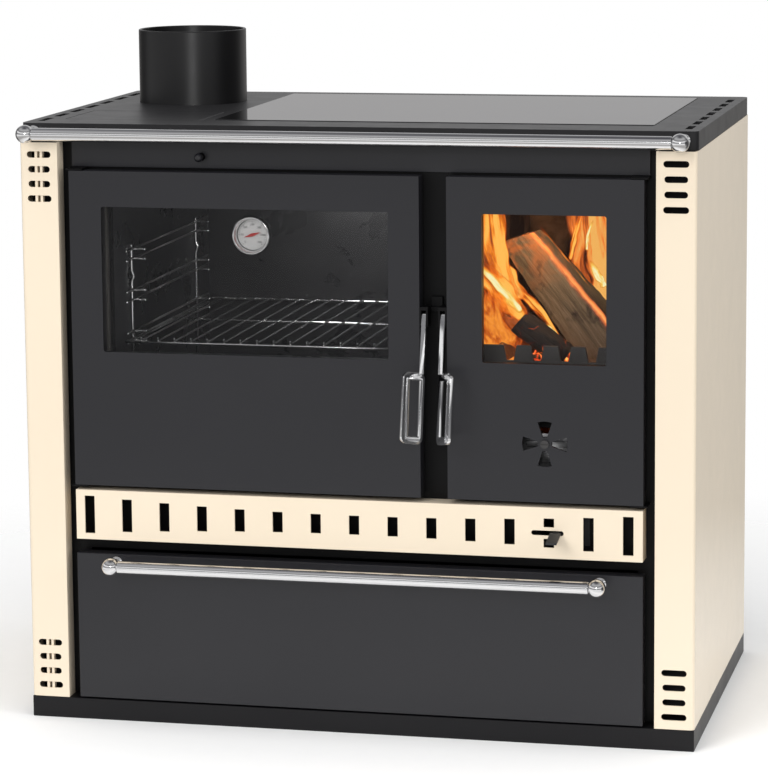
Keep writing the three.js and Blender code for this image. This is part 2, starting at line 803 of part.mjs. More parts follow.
const ovenWindow = [-358, 51];
const fireWindow = [182, 353];
const roseX = (fireDoorLeft + doorRight) / 2;
const roseZ = 421;
const roseOuter = 31.5;
const roseInner = 9.5;
const petals = 4;
const airwayRadius = 36; // of the hole in the liner behind the rosette

function ovenDoor() {
  const pan = doorPan(doorLeft, ovenDoorRight, ovenWindow, doorLeft + hingeInsetX, []);
  part('oven_door_panel', pan, anthracite);
  part('oven_door_liner', doorLiner(doorLeft, ovenDoorRight, ovenWindow, [], []), black);
  part('oven_glass', doorGlass(ovenWindow), glass);
  part('oven_door_seal', doorSeal(ovenLeft - 5, ovenRight + 5, ovenBottom - 5, ovenTop + 5), ropeGrey);
}

// One opening of the air rosette, pointing up: narrow at the middle, with a round outer edge.
function petal() {
  const shape = new THREE.Shape();
  const half = 0.32;
  shape.moveTo(-3.2, roseInner);
  shape.lineTo(3.2, roseInner);
  shape.lineTo(roseOuter * Math.sin(half), roseOuter * Math.cos(half));
  shape.absarc(0, 0, roseOuter, Math.PI / 2 - half, Math.PI / 2 + half);
  return shape;
}

function rosetteCuts(y0, y1) {
  const cuts = [];
  for (let i = 0; i < petals; i += 1) {
    const g = facing(petal(), y0, y1, 3).rotateY((i * 2 * Math.PI) / petals);
    cuts.push(g.translate(roseX, 0, roseZ));
  }
  return cuts;
}

function fireDoor() {
  const spindle = rodY(4.4, front - 1, front + 5, roseX, roseZ, 12);
  const cuts = [...rosetteCuts(front - 1, front + 5), spindle];
  const pan = doorPan(fireDoorLeft, doorRight, fireWindow, doorRight - hingeInsetX, cuts);
  part('fire_door_panel', pan, anthracite);
  const airway = rodY(airwayRadius, linerY - over, linerY + 2 + over, roseX, roseZ, 24);
  part('fire_door_liner', doorLiner(fireDoorLeft, doorRight, fireWindow, [], [airway]), black);
  part('fire_glass', doorGlass(fireWindow), glass);
  part('fire_door_seal', doorSeal(fireLeft - 9, fireRight + 9, ashBottom - 3, fireTop + 5), ropeGrey);
}

// The disc behind the rosette, on a spindle with a slotted head in front of the door.
const discRadius = 38;

function airDisc() {
  const y0 = front + frontThickness + fit;
  const disc = rodY(discRadius, y0, y0 + 2, roseX, roseZ, 32);
  const spindle = rodY(3.8, front - 3, y0 + 1, roseX, roseZ, 12);
  const head = rodY(6, front - 3.2, front - fit, roseX, roseZ, 12);
  const screwSlot = box(roseX - 7, roseX + 7, front - 4, front - 2.2, roseZ - 0.8, roseZ + 0.8);
  part('air_disc', carve([disc, spindle, head], [screwSlot, ...rosetteCuts(y0 - 1, y0 + 3)]), ironGrey);
}

// ---- oven thermometer ----

const gaugeX = -149;
const gaugeZ = 696;
const gaugeFront = front + 23;
const gaugeRadius = 27.5;
const needleTilt = 0.3; // above the horizontal, to the right

function thermometer() {
  const y = gaugeFront;
  const r = 21.8; // inside the cup
  const cup = rodY(gaugeRadius, y, y + 14, gaugeX, gaugeZ, 24);
  const bore = rodY(r, y - 1, y + 12, gaugeX, gaugeZ, 24);
  const bevel = new THREE.CylinderGeometry(r, gaugeRadius - 2, 5, 24).translate(gaugeX, y + 2.49, gaugeZ);
  const strapY = linerY + 2 + fit;
  const strap = box(gaugeX - 12, gaugeX + 12, strapY, strapY + 2, gaugeZ + 20, ovenTop + 4);
  part('thermometer_case', carve([cup, strap], [bore, bevel]), chrome);
  part('thermometer_dial', rodY(r - 0.6, y + 10, y + 12 - fit, gaugeX, gaugeZ, 24), white);
  const diamond = outline([[-13, 0], [0, -2.4], [13, 0], [0, 2.4]]);
  const needle = carve([
    facing(diamond, y + 8, y + 9).rotateY(-needleTilt),
    rod(1.5, 2.4, 12).translate(0, y + 8.5, 0),
  ]);
  part('thermometer_needle', needle.translate(gaugeX, 0, gaugeZ), red);
}

// ---- door handles ----

const pivotY = front + 8;
const pivotZ = 592;
const leverWidth = 6;
const leverLean = 0.23; // forwards, in radians
const loopTurn = 0.915; // of the loop outwards, in radians
const loopWidth = 34;
const loopTop = -78;
const loopBottom = -176;
const forkCheek = 2.2; // thickness beside the door
const forkOuterCheek = 2.8;
const forkFoot = -13;
const forkTop = 14;
const eyeRadius = 7;
const leverHole = 3.4; // radius
const leverPin = 3; // radius

// Built for a lever at x = 0 whose loop reaches towards +X.
function leverHandle() {
  const w = leverWidth / 2;
  const eye = rodX(eyeRadius, -w, w, 0, 0, 16);
  const hole = rodX(leverHole, -w - over, w + over, 0, 0, 12);
  const nose = box(-w, w, 0, 19, -4, 4);
  const bar = box(-w, w, -7, 5, loopTop - 2, 0);
  const ring = frameShape(
    [-3, loopWidth, loopBottom, loopTop], [3.5, loopWidth - 11, loopBottom + 11, loopTop - 11], 9, 0,
  );
  const loop = facing(ring, -2.2, 2.2, 3).rotateZ(-loopTurn);
  const lean = (g) => g.rotateX(-leverLean);
  return carve([eye, nose, lean(bar), lean(loop)], [hole]);
}

// A fork on the door's edge that holds the lever between two cheeks, with its pin.
function latchFork() {
  const w = leverWidth / 2 + fit;
  const [y0, y1] = [-9, 10];
  const inner = box(-w - forkCheek, -w, y0, y1, forkFoot, forkTop);
  const outer = box(w, w + forkOuterCheek, y0, y1, forkFoot, forkTop);
  const bridge = box(-w - over, w + over, y0, y1, forkTop - 5, forkTop);
  const pin = rodX(leverPin, -w - over, w + over, 0, 0, 12);
  return carve([inner, outer, bridge, pin]);
}

function handles() {
  const x = ovenDoorRight + fit + forkCheek + leverWidth / 2 + fit;
  const fireX = fireDoorLeft - (x - ovenDoorRight);
  const place = (g, px) => g.translate(px, pivotY, pivotZ);
  part('oven_latch_fork', place(latchFork(), x), black);
  part('fire_latch_fork', place(mirrored(latchFork()), fireX), black);
  part('oven_handle', place(mirrored(leverHandle()), x), chrome);
  part('fire_handle', place(leverHandle(), fireX), chrome);
  // The noses of both levers bear up under this bar.
  const [c0, c1] = [x - 2, fireX + 2];
  const bar = box(c0, c1, frameFront - 11, frameFront - 5, pivotZ + 5, pivotZ + 11);
  const middle = (c0 + c1) / 2;
  const foot = box(middle - 8, middle + 8, frameFront - 6, frameFront - fit, pivotZ + 5, pivotZ + 25);
  part('door_catch', carve([bar, foot]), steel);
}

// ---- drawer ----

const trayHalf = 384;
const trayBack = 190;
const trayTop = 226;
const slideZ = 130;
const trayFloor = 46;
const tongueReach = 6;
const drawerDepth = 22; // of the front's returns
const runnerBack = 225;

function drawer() {
  const t = sheet;
  const z0 = plinthHeight + 2;
  const y1 = front + drawerDepth;
  const face = carve(
    [box(doorLeft, doorRight, front, y1, z0, drawerTop)],
    [box(doorLeft + t, doorRight - t, front + frontThickness, y1 + over, z0 + t, drawerTop - t)],
  );
  part('drawer_front', face, anthracite);
  const s = thinSheet;
  const trayBox = box(-trayHalf, trayHalf, y1 + fit, trayBack, trayFloor, trayTop);
  const [a, y0] = [trayHalf - s, y1 + fit + s];
  const hollow = box(-a, a, y0, trayBack - s, trayFloor + s, trayTop + over);
  const tongue = (x0, x1) => box(x0, x1, insideFront + 4, trayBack, slideZ, slideZ + 10);
  const r = tongueReach;
  const tongues = [tongue(-trayHalf - r, -trayHalf + 1), tongue(trayHalf - 1, trayHalf + r)];
  part('drawer_tray', carve([trayBox, ...tongues], [hollow]), black);
}

// A channel on each body side, in which the drawer's tongue runs.
function drawerRunners() {
  const x = trayHalf + 2;
  const [z0, z1] = [slideZ - 4, slideZ + 14];
  const track = box(x, carcassX - fit, insideFront, runnerBack, z0, z0 + 2);
  const web = box(x + 8, x + 10, insideFront, runnerBack, z0 + 1, z1);
  const lip = box(x, x + 10, insideFront, runnerBack, z1 - 2, z1);
  const runner = carve([track, web, lip]);
  part('drawer_runner_right', runner, steel);
  part('drawer_runner_left', mirrored(runner), steel);
}

basePlinth();
sidePanels();
carcass();
backPanel();
frontFrame();
frontFascia();
ventStrip();
airLever();
smokeDivider();
damper();
topPlate();
hobAndCover();
flueCollar();
rail('towel_rail', towelRailSpan, towelRailZ, front + plateInset, 9);
rail('drawer_rail', drawerRailSpan, drawerRailZ, front, 12);
ovenBox();
rackSupports();
ovenShelf();
fireboxShell();
firebricks();
grate();
emberGuard();
ashPan();
hinges();
ovenDoor();
fireDoor();
airDisc();
thermometer();
handles();
drawer();
drawerRunners();

export default stove;
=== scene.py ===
import json
import math

import bmesh
import bpy
from mathutils import Matrix, Vector, noise

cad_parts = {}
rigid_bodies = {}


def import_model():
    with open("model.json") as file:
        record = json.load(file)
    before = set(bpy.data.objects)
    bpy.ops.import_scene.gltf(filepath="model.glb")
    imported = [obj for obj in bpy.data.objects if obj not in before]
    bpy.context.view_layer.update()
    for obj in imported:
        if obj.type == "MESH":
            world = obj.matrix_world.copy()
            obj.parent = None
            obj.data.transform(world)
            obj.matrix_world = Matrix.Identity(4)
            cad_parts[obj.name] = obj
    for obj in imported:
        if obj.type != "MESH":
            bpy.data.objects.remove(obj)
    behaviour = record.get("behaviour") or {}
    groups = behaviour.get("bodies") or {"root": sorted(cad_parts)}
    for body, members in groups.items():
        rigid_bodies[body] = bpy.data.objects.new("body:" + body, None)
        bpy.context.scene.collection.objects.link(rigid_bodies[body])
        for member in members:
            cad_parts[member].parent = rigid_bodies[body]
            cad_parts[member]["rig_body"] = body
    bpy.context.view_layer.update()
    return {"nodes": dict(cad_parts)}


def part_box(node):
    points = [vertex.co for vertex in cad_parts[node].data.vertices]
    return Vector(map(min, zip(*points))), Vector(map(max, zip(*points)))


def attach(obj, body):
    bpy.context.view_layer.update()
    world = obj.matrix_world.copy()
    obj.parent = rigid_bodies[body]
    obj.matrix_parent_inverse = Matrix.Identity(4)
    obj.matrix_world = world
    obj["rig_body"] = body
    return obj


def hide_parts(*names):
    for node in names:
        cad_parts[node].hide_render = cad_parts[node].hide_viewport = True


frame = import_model()
nodes = frame["nodes"]
scene = bpy.context.scene
print("frame loaded")

# The camera stands a little to the right of the stove and looks slightly down.
camera = {
    "place": (1.063, -4.636, 1.270),
    "yaw": 13.15,
    "pitch": 8.59,
    "roll": -0.50,
    "lens": 152.1,
    "shiftY": -0.098,
}


def addCamera(c):
    yaw, pitch, roll = (math.radians(c[k]) for k in ("yaw", "pitch", "roll"))
    right = Vector((math.cos(yaw), math.sin(yaw), 0))
    ahead = Vector((-math.sin(yaw), math.cos(yaw), 0))
    up = Vector((0, 0, 1))
    look = ahead * math.cos(pitch) - up * math.sin(pitch)
    top = up * math.cos(pitch) + ahead * math.sin(pitch)
    side = right * math.cos(roll) + top * math.sin(roll)
    top = top * math.cos(roll) - right * math.sin(roll)
    data = bpy.data.cameras.new("camera")
    data.lens = c["lens"]
    data.sensor_width = 36
    data.shift_y = c["shiftY"]
    data.clip_start, data.clip_end = 0.1, 100
    view = bpy.data.objects.new("camera", data)
    scene.collection.objects.link(view)
    matrix = Matrix((side, top, -look)).transposed().to_4x4()
    matrix.translation = Vector(c["place"])
    view.matrix_world = matrix
    scene.camera = view


addCamera(camera)
scene.view_settings.view_transform = "Standard"


# Small helpers for shader trees.
def addNode(tree, kind, inputs=None, **settings):
    node = tree.nodes.new(kind)
    for key, value in settings.items():
        setattr(node, key, value)
    for key, value in (inputs or {}).items():
        if isinstance(value, bpy.types.NodeSocket):
            tree.links.new(value, node.inputs[key])
        else:
            node.inputs[key].default_value = value
    return node


def wireUp(tree, node, **sockets):
    for name, value in sockets.items():
        tree.links.new(value, node.inputs[name.replace("_", " ")])


def maths(tree, operation, first, second=0.0, clamp=False):
    values = {0: first, 1: second}
    return addNode(tree, "ShaderNodeMath", values, operation=operation, use_clamp=clamp).outputs[0]


def mixColour(tree, factor, first, second):
    values = {0: factor, 6: first, 7: second}
    return addNode(tree, "ShaderNodeMix", values, data_type="RGBA").outputs[2]


def spread(tree, value, low, high, toLow=0.0, toHigh=1.0):
    values = {"Value": value, "From Min": low, "From Max": high, "To Min": toLow, "To Max": toHigh}
    return addNode(tree, "ShaderNodeMapRange", values).outputs[0]


def ramp(tree, value, stops):
    node = addNode(tree, "ShaderNodeValToRGB", {"Fac": value})
    elements = node.color_ramp.elements
    while len(elements) < len(stops):
        elements.new(0.5)
    for element, (place, colour) in zip(elements, stops):
        element.position = place
        element.color = (*colour, 1)
    return node.outputs[0]


def coordinates(tree, kind="Object"):
    return addNode(tree, "ShaderNodeTexCoord").outputs[kind]


def stretch(tree, place, **settings):
    values = {"Vector": place, **{key.capitalize(): value for key, value in settings.items()}}
    return addNode(tree, "ShaderNodeMapping", values).outputs[0]


def cloud(tree, place, scale, detail=3.0, roughness=0.5, distortion=0.0):
    values = {"Vector": place, "Scale": scale, "Detail": detail, "Roughness": roughness}
    return addNode(tree, "ShaderNodeTexNoise", {**values, "Distortion": distortion}).outputs[0]


def addRelief(tree, shader, height, strength, distance):
    values = {"Height": height, "Strength": strength, "Distance": distance}
    wireUp(tree, shader, Normal=addNode(tree, "ShaderNodeBump", values).outputs[0])


def newGroup(name, **inputs):
    tree = bpy.data.node_groups.new(name, "ShaderNodeTree")
    for label, value in inputs.items():
        item = tree.interface.new_socket(label, in_out="INPUT", socket_type="NodeSocketFloat")
        item.default_value = value
    for label in ("Shade", "Roughness", "Height"):
        tree.interface.new_socket(label, in_out="OUTPUT", socket_type="NodeSocketFloat")
    return tree, tree.nodes.new("NodeGroupInput").outputs, tree.nodes.new("NodeGroupOutput")


def uneven(tree, given, pattern, amount):
    wander = maths(tree, "MULTIPLY", pattern, amount)
    return maths(tree, "ADD", given["Roughness"], wander, True)


def enamelGroup():
    tree, given, made = newGroup("enamelFinish", Roughness=0.3, Smear=0.08)
    place = coordinates(tree)
    broad = cloud(tree, place, 3.0, 2.0)
    smear = cloud(tree, place, 22.0, 5.0, 0.62, 0.6)
    peel = cloud(tree, place, 420.0, 2.0, 0.4)
    specks = cloud(tree, place, 1500.0, 1.0, 0.4)
    wireUp(
        tree, made,
        Shade=spread(tree, broad, 0.25, 0.75),
        Roughness=uneven(tree, given, maths(tree, "SUBTRACT", smear, 0.5), given["Smear"]),
        Height=maths(tree, "ADD", peel, maths(tree, "MULTIPLY", specks, 0.3)),
    )
    return tree


def brushedGroup():
    tree, given, made = newGroup("brushedMetal", Roughness=0.2, Stroke=0.1, AlongX=6.0, AlongZ=900.0)
    place = coordinates(tree)
    scale = addNode(tree, "ShaderNodeCombineXYZ", {"X": given["AlongX"], "Y": 300.0, "Z": given["AlongZ"]})
    stretched = addNode(tree, "ShaderNodeVectorMath", {0: place, 1: scale.outputs[0]}, operation="MULTIPLY")
    strokes = cloud(tree, stretched.outputs[0], 1.0, 3.0, 0.6)
    hands = cloud(tree, place, 24.0, 4.0, 0.6, 0.8)
    both = maths(tree, "SUBTRACT", maths(tree, "ADD", strokes, hands), 1.0)
    wireUp(tree, made, Shade=hands, Roughness=uneven(tree, given, both, given["Stroke"]), Height=strokes)
    return tree


def castGroup():
    tree, given, made = newGroup("castSurface", Roughness=0.6, Grain=700.0)
    place = coordinates(tree)
    broad = cloud(tree, place, 14.0, 5.0, 0.6, 0.4)
    grain = cloud(tree, place, given["Grain"], 3.0, 0.6)
    wireUp(
        tree, made,
        Shade=spread(tree, broad, 0.3, 0.7),
        Roughness=uneven(tree, given, maths(tree, "SUBTRACT", broad, 0.5), 0.3),
        Height=maths(tree, "ADD", grain, maths(tree, "MULTIPLY", broad, 0.5)),
    )
    return tree


groups = {"enamel": enamelGroup(), "brushed": brushedGroup(), "cast": castGroup()}


def newMaterial(name, **values):
    material = bpy.data.materials.new(name)
    material.use_nodes = True
    tree = material.node_tree
    shader = tree.nodes["Principled BSDF"]
    for key, value in values.items():
        shader.inputs[key.replace("_", " ")].default_value = value
    return material, tree, shader


def simpleFinish(name, group, tones, inputs, bump, distance=0.0002, **values):
    material, tree, shader = newMaterial(name, **values)
    effect = addNode(tree, "ShaderNodeGroup", inputs, node_tree=groups[group]).outputs
    dark, light = tones
    colour = mixColour(tree, effect["Shade"], (*dark, 1), (*light, 1))
    wireUp(tree, shader, Base_Color=colour, Roughness=effect["Roughness"])
    addRelief(tree, shader, effect["Height"], bump, distance)
    return material


materials = {
    "cream": simpleFinish(
        "creamEnamel", "enamel", ((0.80, 0.688, 0.535), (0.83, 0.718, 0.563)),
        {"Roughness": 0.24, "Smear": 0.07}, 0.05, Coat_Weight=0.12, Coat_Roughness=0.08,
        Specular_IOR_Level=0.35,
    ),
    "anthracite": simpleFinish(
        "anthraciteEnamel", "enamel", ((0.0092, 0.0092, 0.0118), (0.0118, 0.0117, 0.0145)),
        {"Roughness": 0.36, "Smear": 0.10}, 0.06,
    ),
    "plate": simpleFinish(
        "plateGrey", "enamel", ((0.014, 0.0138, 0.0148), (0.021, 0.0207, 0.022)),
        {"Roughness": 0.38, "Smear": 0.14}, 0.12, Specular_IOR_Level=0.22,
    ),
    "plinth": simpleFinish(
        "plinthEnamel", "enamel", ((0.0035, 0.0033, 0.0042), (0.006, 0.0057, 0.0068)),
        {"Roughness": 0.40, "Smear": 0.12}, 0.08, Specular_IOR_Level=0.28,
    ),
    "flueBlack": simpleFinish(
        "flueBlack", "enamel", ((0.0022, 0.0021, 0.0024), (0.0038, 0.0036, 0.004)),
        {"Roughness": 0.33, "Smear": 0.10}, 0.10,
    ),
    # Black steel darkened further for the frame, hinges, catch and latch forks at the door gaps: black, with
    # painted shade.
    "frameBlackPaintedShade": simpleFinish(
        "frameBlackPaintedShade", "enamel", ((0.0018, 0.0017, 0.0020), (0.0038, 0.0036, 0.0040)),
        {"Roughness": 0.45, "Smear": 0.16}, 0.12, Specular_IOR_Level=0.18,
    ),
    "blackSteel": simpleFinish(
        "blackSteel", "enamel", ((0.012, 0.012, 0.013), (0.022, 0.022, 0.024)),
        {"Roughness": 0.52, "Smear": 0.18}, 0.12,
    ),
    "chrome": simpleFinish(
        "chrome", "brushed", ((0.74, 0.74, 0.75), (0.80, 0.80, 0.80)),
        {"Roughness": 0.10, "Stroke": 0.05, "AlongX": 3.0, "AlongZ": 600.0}, 0.03, 0.0001, Metallic=1.0,
    ),
    "handle": simpleFinish(
        "satinChrome", "brushed", ((0.76, 0.76, 0.77), (0.82, 0.82, 0.82)),
        {"Roughness": 0.11, "Stroke": 0.04, "AlongX": 6.0, "AlongZ": 500.0}, 0.03, 0.0001, Metallic=1.0,
    ),
    "wire": simpleFinish(
        "nickelWire", "brushed", ((0.90, 0.90, 0.90), (0.96, 0.96, 0.96)),
        {"Roughness": 0.22, "Stroke": 0.08, "AlongX": 60.0, "AlongZ": 60.0}, 0.02, 0.0001, Metallic=1.0,
    ),
    "steel": simpleFinish(
        "brushedSteel", "brushed", ((0.40, 0.40, 0.41), (0.52, 0.52, 0.53)),
        {"Roughness": 0.30, "Stroke": 0.16, "AlongX": 8.0, "AlongZ": 700.0}, 0.08, 0.0001, Metallic=1.0,
    ),
    "castIron": simpleFinish(
        "castIron", "cast", ((0.022, 0.021, 0.021), (0.046, 0.044, 0.043)),
        {"Roughness": 0.56, "Grain": 700.0}, 0.35,
    ),
    "ovenEnamel": simpleFinish(
        "ovenEnamel", "cast", ((0.016, 0.0158, 0.017), (0.028, 0.0275, 0.029)),
        {"Roughness": 0.30, "Grain": 1500.0}, 0.06,
    ),
}


def hobGlassMaterial():
    material, tree, shader = newMaterial("hobGlass", IOR=1.5)
    place = coordinates(tree)
    smear = cloud(tree, place, 9.0, 5.0, 0.6, 1.2)
    specks = cloud(tree, place, 900.0, 1.0)
    wireUp(
        tree, shader,
        Roughness=spread(tree, smear, 0.3, 0.7, 0.035, 0.075),
        Base_Color=ramp(tree, specks, ((0.62, (0.006, 0.006, 0.0065)), (0.80, (0.016, 0.016, 0.017)))),
    )
    return material


def doorGlassMaterial(name, alpha, tint):
    material, tree, shader = newMaterial(name, IOR=1.46, Alpha=alpha)
    smear = cloud(tree, coordinates(tree), 14.0, 4.0, 0.6, 1.5)
    colour = mixColour(tree, smear, (*tint, 1), (*[t * 1.6 for t in tint], 1))
    wireUp(tree, shader, Roughness=spread(tree, smear, 0.3, 0.7, 0.03, 0.07), Base_Color=colour)
    return material


def brickMaterial():
    material, tree, shader = newMaterial("firebrick", Roughness=0.9)
    place = coordinates(tree)
    grain = cloud(tree, place, 260.0, 5.0, 0.65)
    soot = cloud(tree, place, 9.0, 5.0, 0.6, 0.5)
    pale = mixColour(tree, grain, (0.22, 0.145, 0.08, 1), (0.40, 0.29, 0.18, 1))
    colour = mixColour(tree, spread(tree, soot, 0.50, 0.74), (0.014, 0.011, 0.010, 1), pale)
    wireUp(tree, shader, Base_Color=colour)
    addRelief(tree, shader, grain, 0.5, 0.0006)
    return material


def ropeMaterial():
    material, tree, shader = newMaterial("ropeSeal", Roughness=0.95)
    place = coordinates(tree)
    turned = stretch(tree, place, rotation=(0.0, math.radians(45), 0.0))
    strand = {"Vector": turned, "Scale": 130.0, "Distortion": 0.6, "Detail": 2.0}
    strands = [addNode(tree, "ShaderNodeTexWave", strand, bands_direction=axis).outputs["Fac"] for axis in "XZ"]
    braid = maths(tree, "MAXIMUM", *strands)
    worn = maths(tree, "MULTIPLY", braid, cloud(tree, place, 1400.0, 3.0))
    wireUp(tree, shader, Base_Color=ramp(tree, worn, ((0.1, (0.02, 0.018, 0.017)), (0.6, (0.13, 0.12, 0.11)))))
    addRelief(tree, shader, braid, 0.6, 0.001)
    return material


def paintMaterial(name, dark, light, roughness):
    material, tree, shader = newMaterial(name)
    grain = cloud(tree, coordinates(tree), 300.0, 3.0)
    wireUp(
        tree, shader,
        Base_Color=mixColour(tree, grain, (*dark, 1), (*light, 1)),
        Roughness=spread(tree, grain, 0.3, 0.7, roughness * 0.85, roughness * 1.15),
    )
    return material


def woodMaterial(name, tones, char, glow, ridge=None):
    material, tree, shader = newMaterial(name, Roughness=0.85, Emission_Strength=1.0)
    place = coordinates(tree, "UV")
    fibre = cloud(tree, stretch(tree, place, scale=(26.0, 2.2, 1)), 1.0, 6.0, 0.65, 0.4)
    patch = cloud(tree, coordinates(tree), 34.0, 4.0, 0.6, 0.6)
    colour = ramp(tree, fibre, tuple(zip((0.28, 0.52, 0.74), tones)))
    parts = addNode(tree, "ShaderNodeSeparateXYZ", {"Vector": place}).outputs
    if ridge:
        lit = maths(tree, "MULTIPLY", spread(tree, parts["Y"], 0.42, 0.04), spread(tree, patch, 0.40, 0.58))
        colour = mixColour(tree, lit, colour, (0.34, 0.13, 0.04, 1))
    charred = mixColour(tree, spread(tree, patch, *char), colour, (0.012, 0.010, 0.009, 1))
    cracks = addNode(
        tree, "ShaderNodeTexVoronoi", {"Vector": coordinates(tree), "Scale": 62.0}, feature="DISTANCE_TO_EDGE"
    ).outputs["Distance"]
    edge = spread(tree, cracks, 0.0, 0.07, 1.0, 0.0)
    heat = maths(tree, "MULTIPLY", edge, spread(tree, patch, 0.54, 0.70))
    heat = maths(tree, "MULTIPLY", heat, glow, True)
    if ridge:
        wobble = maths(tree, "MULTIPLY", maths(tree, "SUBTRACT", patch, 0.5), ridge["wobble"])
        away = maths(tree, "SUBTRACT", maths(tree, "ADD", parts["X"], wobble), ridge["at"])
        # The wood burns on one side of the ridge, and its glow fades over the flat face.
        behind, ahead = spread(tree, away, -ridge["behind"], 0.0), spread(tree, away, ridge["ahead"], 0.0)
        band = maths(tree, "MULTIPLY", behind, ahead)
        band = maths(tree, "MULTIPLY", band, spread(tree, fibre, 0.25, 0.55, 0.55, 1.0))
        heat = maths(tree, "MAXIMUM", heat, maths(tree, "MULTIPLY", band, ridge["strength"]))
    stops = (
        (0.05, (0, 0, 0)), (0.32, (0.10, 0.008, 0.003)), (0.6, (0.80, 0.13, 0.015)), (1.0, (1.0, 0.42, 0.08)),
    )
    wireUp(tree, shader, Base_Color=charred, Emission_Color=ramp(tree, heat, stops))
    addRelief(tree, shader, fibre, 0.8, 0.0025)
    return material


def emberMaterial():
    material, tree, shader = newMaterial("embers", Roughness=0.95, Emission_Strength=1.6)
    place = coordinates(tree)
    cells = addNode(
        tree, "ShaderNodeTexVoronoi", {"Vector": place, "Scale": 75.0}, feature="DISTANCE_TO_EDGE"
    ).outputs["Distance"]
    patch = cloud(tree, place, 16.0, 4.0)
    heat = maths(tree, "MULTIPLY", spread(tree, cells, 0.0, 0.16, 1.0, 0.12), spread(tree, patch, 0.34, 0.62))
    ash = ((0.42, (0.010, 0.009, 0.008)), (0.72, (0.16, 0.14, 0.13)))
    stops = (
        (0.08, (0, 0, 0)), (0.35, (0.55, 0.035, 0.004)), (0.7, (1.0, 0.24, 0.03)), (1.0, (1.0, 0.62, 0.16)),
    )
    ashes = ramp(tree, cloud(tree, place, 120.0, 4.0), ash)
    wireUp(tree, shader, Base_Color=ashes, Emission_Color=ramp(tree, heat, stops))
    return material


def flameMaterial(name, f):
    material, tree, shader = newMaterial(
        name, Base_Color=(0, 0, 0, 1), Roughness=1.0, Specular_IOR_Level=0.0, Emission_Strength=f["strength"]
    )
    place = coordinates(tree, "UV")
    parts = addNode(tree, "ShaderNodeSeparateXYZ", {"Vector": place}).outputs
    moved = stretch(tree, place, scale=(*f["stretch"], 1))
    shifted = addNode(tree, "ShaderNodeVectorMath", {0: moved, 1: coordinates(tree)}, operation="ADD").outputs[0]
    lick = cloud(tree, shifted, 1.0, 4.0, 0.55, f["twist"])
    streak = cloud(tree, shifted, 3.1, 3.0, 0.6, 0.7)
    wisps = maths(tree, "ADD", maths(tree, "MULTIPLY", lick, 1.4), maths(tree, "MULTIPLY", streak, 0.6))
    wisps = maths(tree, "MULTIPLY", maths(tree, "SUBTRACT", wisps, 1.0), f["ragged"])
    sides = maths(tree, "MULTIPLY", parts["X"], maths(tree, "SUBTRACT", 1.0, parts["X"]))
    sides = maths(tree, "MULTIPLY", sides, 4.0)
    ends = maths(tree, "MULTIPLY", spread(tree, parts["Y"], 0.0, 0.10), spread(tree, parts["Y"], 1.0, f["tip"]))
    body = maths(tree, "ADD", maths(tree, "MULTIPLY", sides, 0.8), maths(tree, "ADD", wisps, f["fill"]))
    heat = maths(tree, "MULTIPLY", maths(tree, "MULTIPLY", body, ends), spread(tree, sides, 0.0, 0.35))
    tones = ramp(tree, heat, tuple(zip((0.10, 0.38, 0.66, 0.95), f["tones"])))
    wireUp(tree, shader, Emission_Color=tones, Alpha=spread(tree, heat, 0.06, f["soft"]))
    return material


materials.update(
    {
        "hobGlass": hobGlassMaterial(),
        "ovenGlass": doorGlassMaterial("ovenGlass", 0.12, (0.012, 0.012, 0.013)),
        "fireGlass": doorGlassMaterial("fireGlass", 0.07, (0.02, 0.016, 0.014)),
        "crystal": doorGlassMaterial("crystal", 0.06, (0.3, 0.3, 0.3)),
        "brick": brickMaterial(),
        "rope": ropeMaterial(),
        "dial": paintMaterial("dialWhite", (0.78, 0.775, 0.765), (0.84, 0.835, 0.825), 0.5),
        "ink": paintMaterial("dialInk", (0.01, 0.01, 0.01), (0.02, 0.02, 0.02), 0.5),
        "red": paintMaterial("needleRed", (0.50, 0.012, 0.008), (0.62, 0.02, 0.012), 0.3),
        "splitWood": woodMaterial(
            "splitWood", ((0.036, 0.031, 0.022), (0.105, 0.090, 0.063), (0.20, 0.176, 0.132)), (0.60, 0.74), 0.0,
            {"at": 0.090, "behind": 0.045, "ahead": 0.036, "wobble": 0.05, "strength": 0.95},
        ),
        "glowingWood": woodMaterial(
            "glowingWood", ((0.12, 0.03, 0.008), (0.36, 0.12, 0.03), (0.62, 0.26, 0.08)), (0.60, 0.70), 1.0
        ),
        "burntWood": woodMaterial(
            "burntWood", ((0.008, 0.006, 0.006), (0.022, 0.015, 0.012), (0.06, 0.036, 0.026)), (0.50, 0.62), 1.1
        ),
        "embers": emberMaterial(),
    }
)
print("materials made", len(materials))


# Geometry helpers: every piece is built in place, in metres.
def makePiece(name, bm, body, material, stands=(), smooth=38, weighted=False):
    mesh = bpy.data.meshes.new(name)
    bm.to_mesh(mesh)
    bm.free()
    mesh.shade_smooth()
    mesh.set_sharp_from_angle(angle=math.radians(smooth))
    mesh.materials.append(materials[material])
    piece = bpy.data.objects.new(name, mesh)
    scene.collection.objects.link(piece)
    if weighted:
        normals = piece.modifiers.new("normals", "WEIGHTED_NORMAL")
        normals.keep_sharp = True
    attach(piece, body)
    if stands:
        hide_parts(*stands)


def roundedCopy(node, width, segments, material, sharp=28):
    source = nodes[node]
    bm = bmesh.new()
    bm.from_mesh(source.data)
    bmesh.ops.remove_doubles(bm, verts=bm.verts, dist=0.000004)
    bmesh.ops.dissolve_limit(bm, angle_limit=math.radians(0.6), verts=bm.verts, edges=bm.edges)
    edges = [e for e in bm.edges if len(e.link_faces) == 2 and e.calc_face_angle(0) > math.radians(sharp)]
    bmesh.ops.bevel(
        bm, geom=edges, offset=width, offset_type="OFFSET", affect="EDGES", segments=segments,
        profile=0.5, material=-1, clamp_overlap=True,
    )
    makePiece(
        node + "_finish", bm, source["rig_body"], material, (node,), smooth=40,
        weighted=material != "handle",
    )


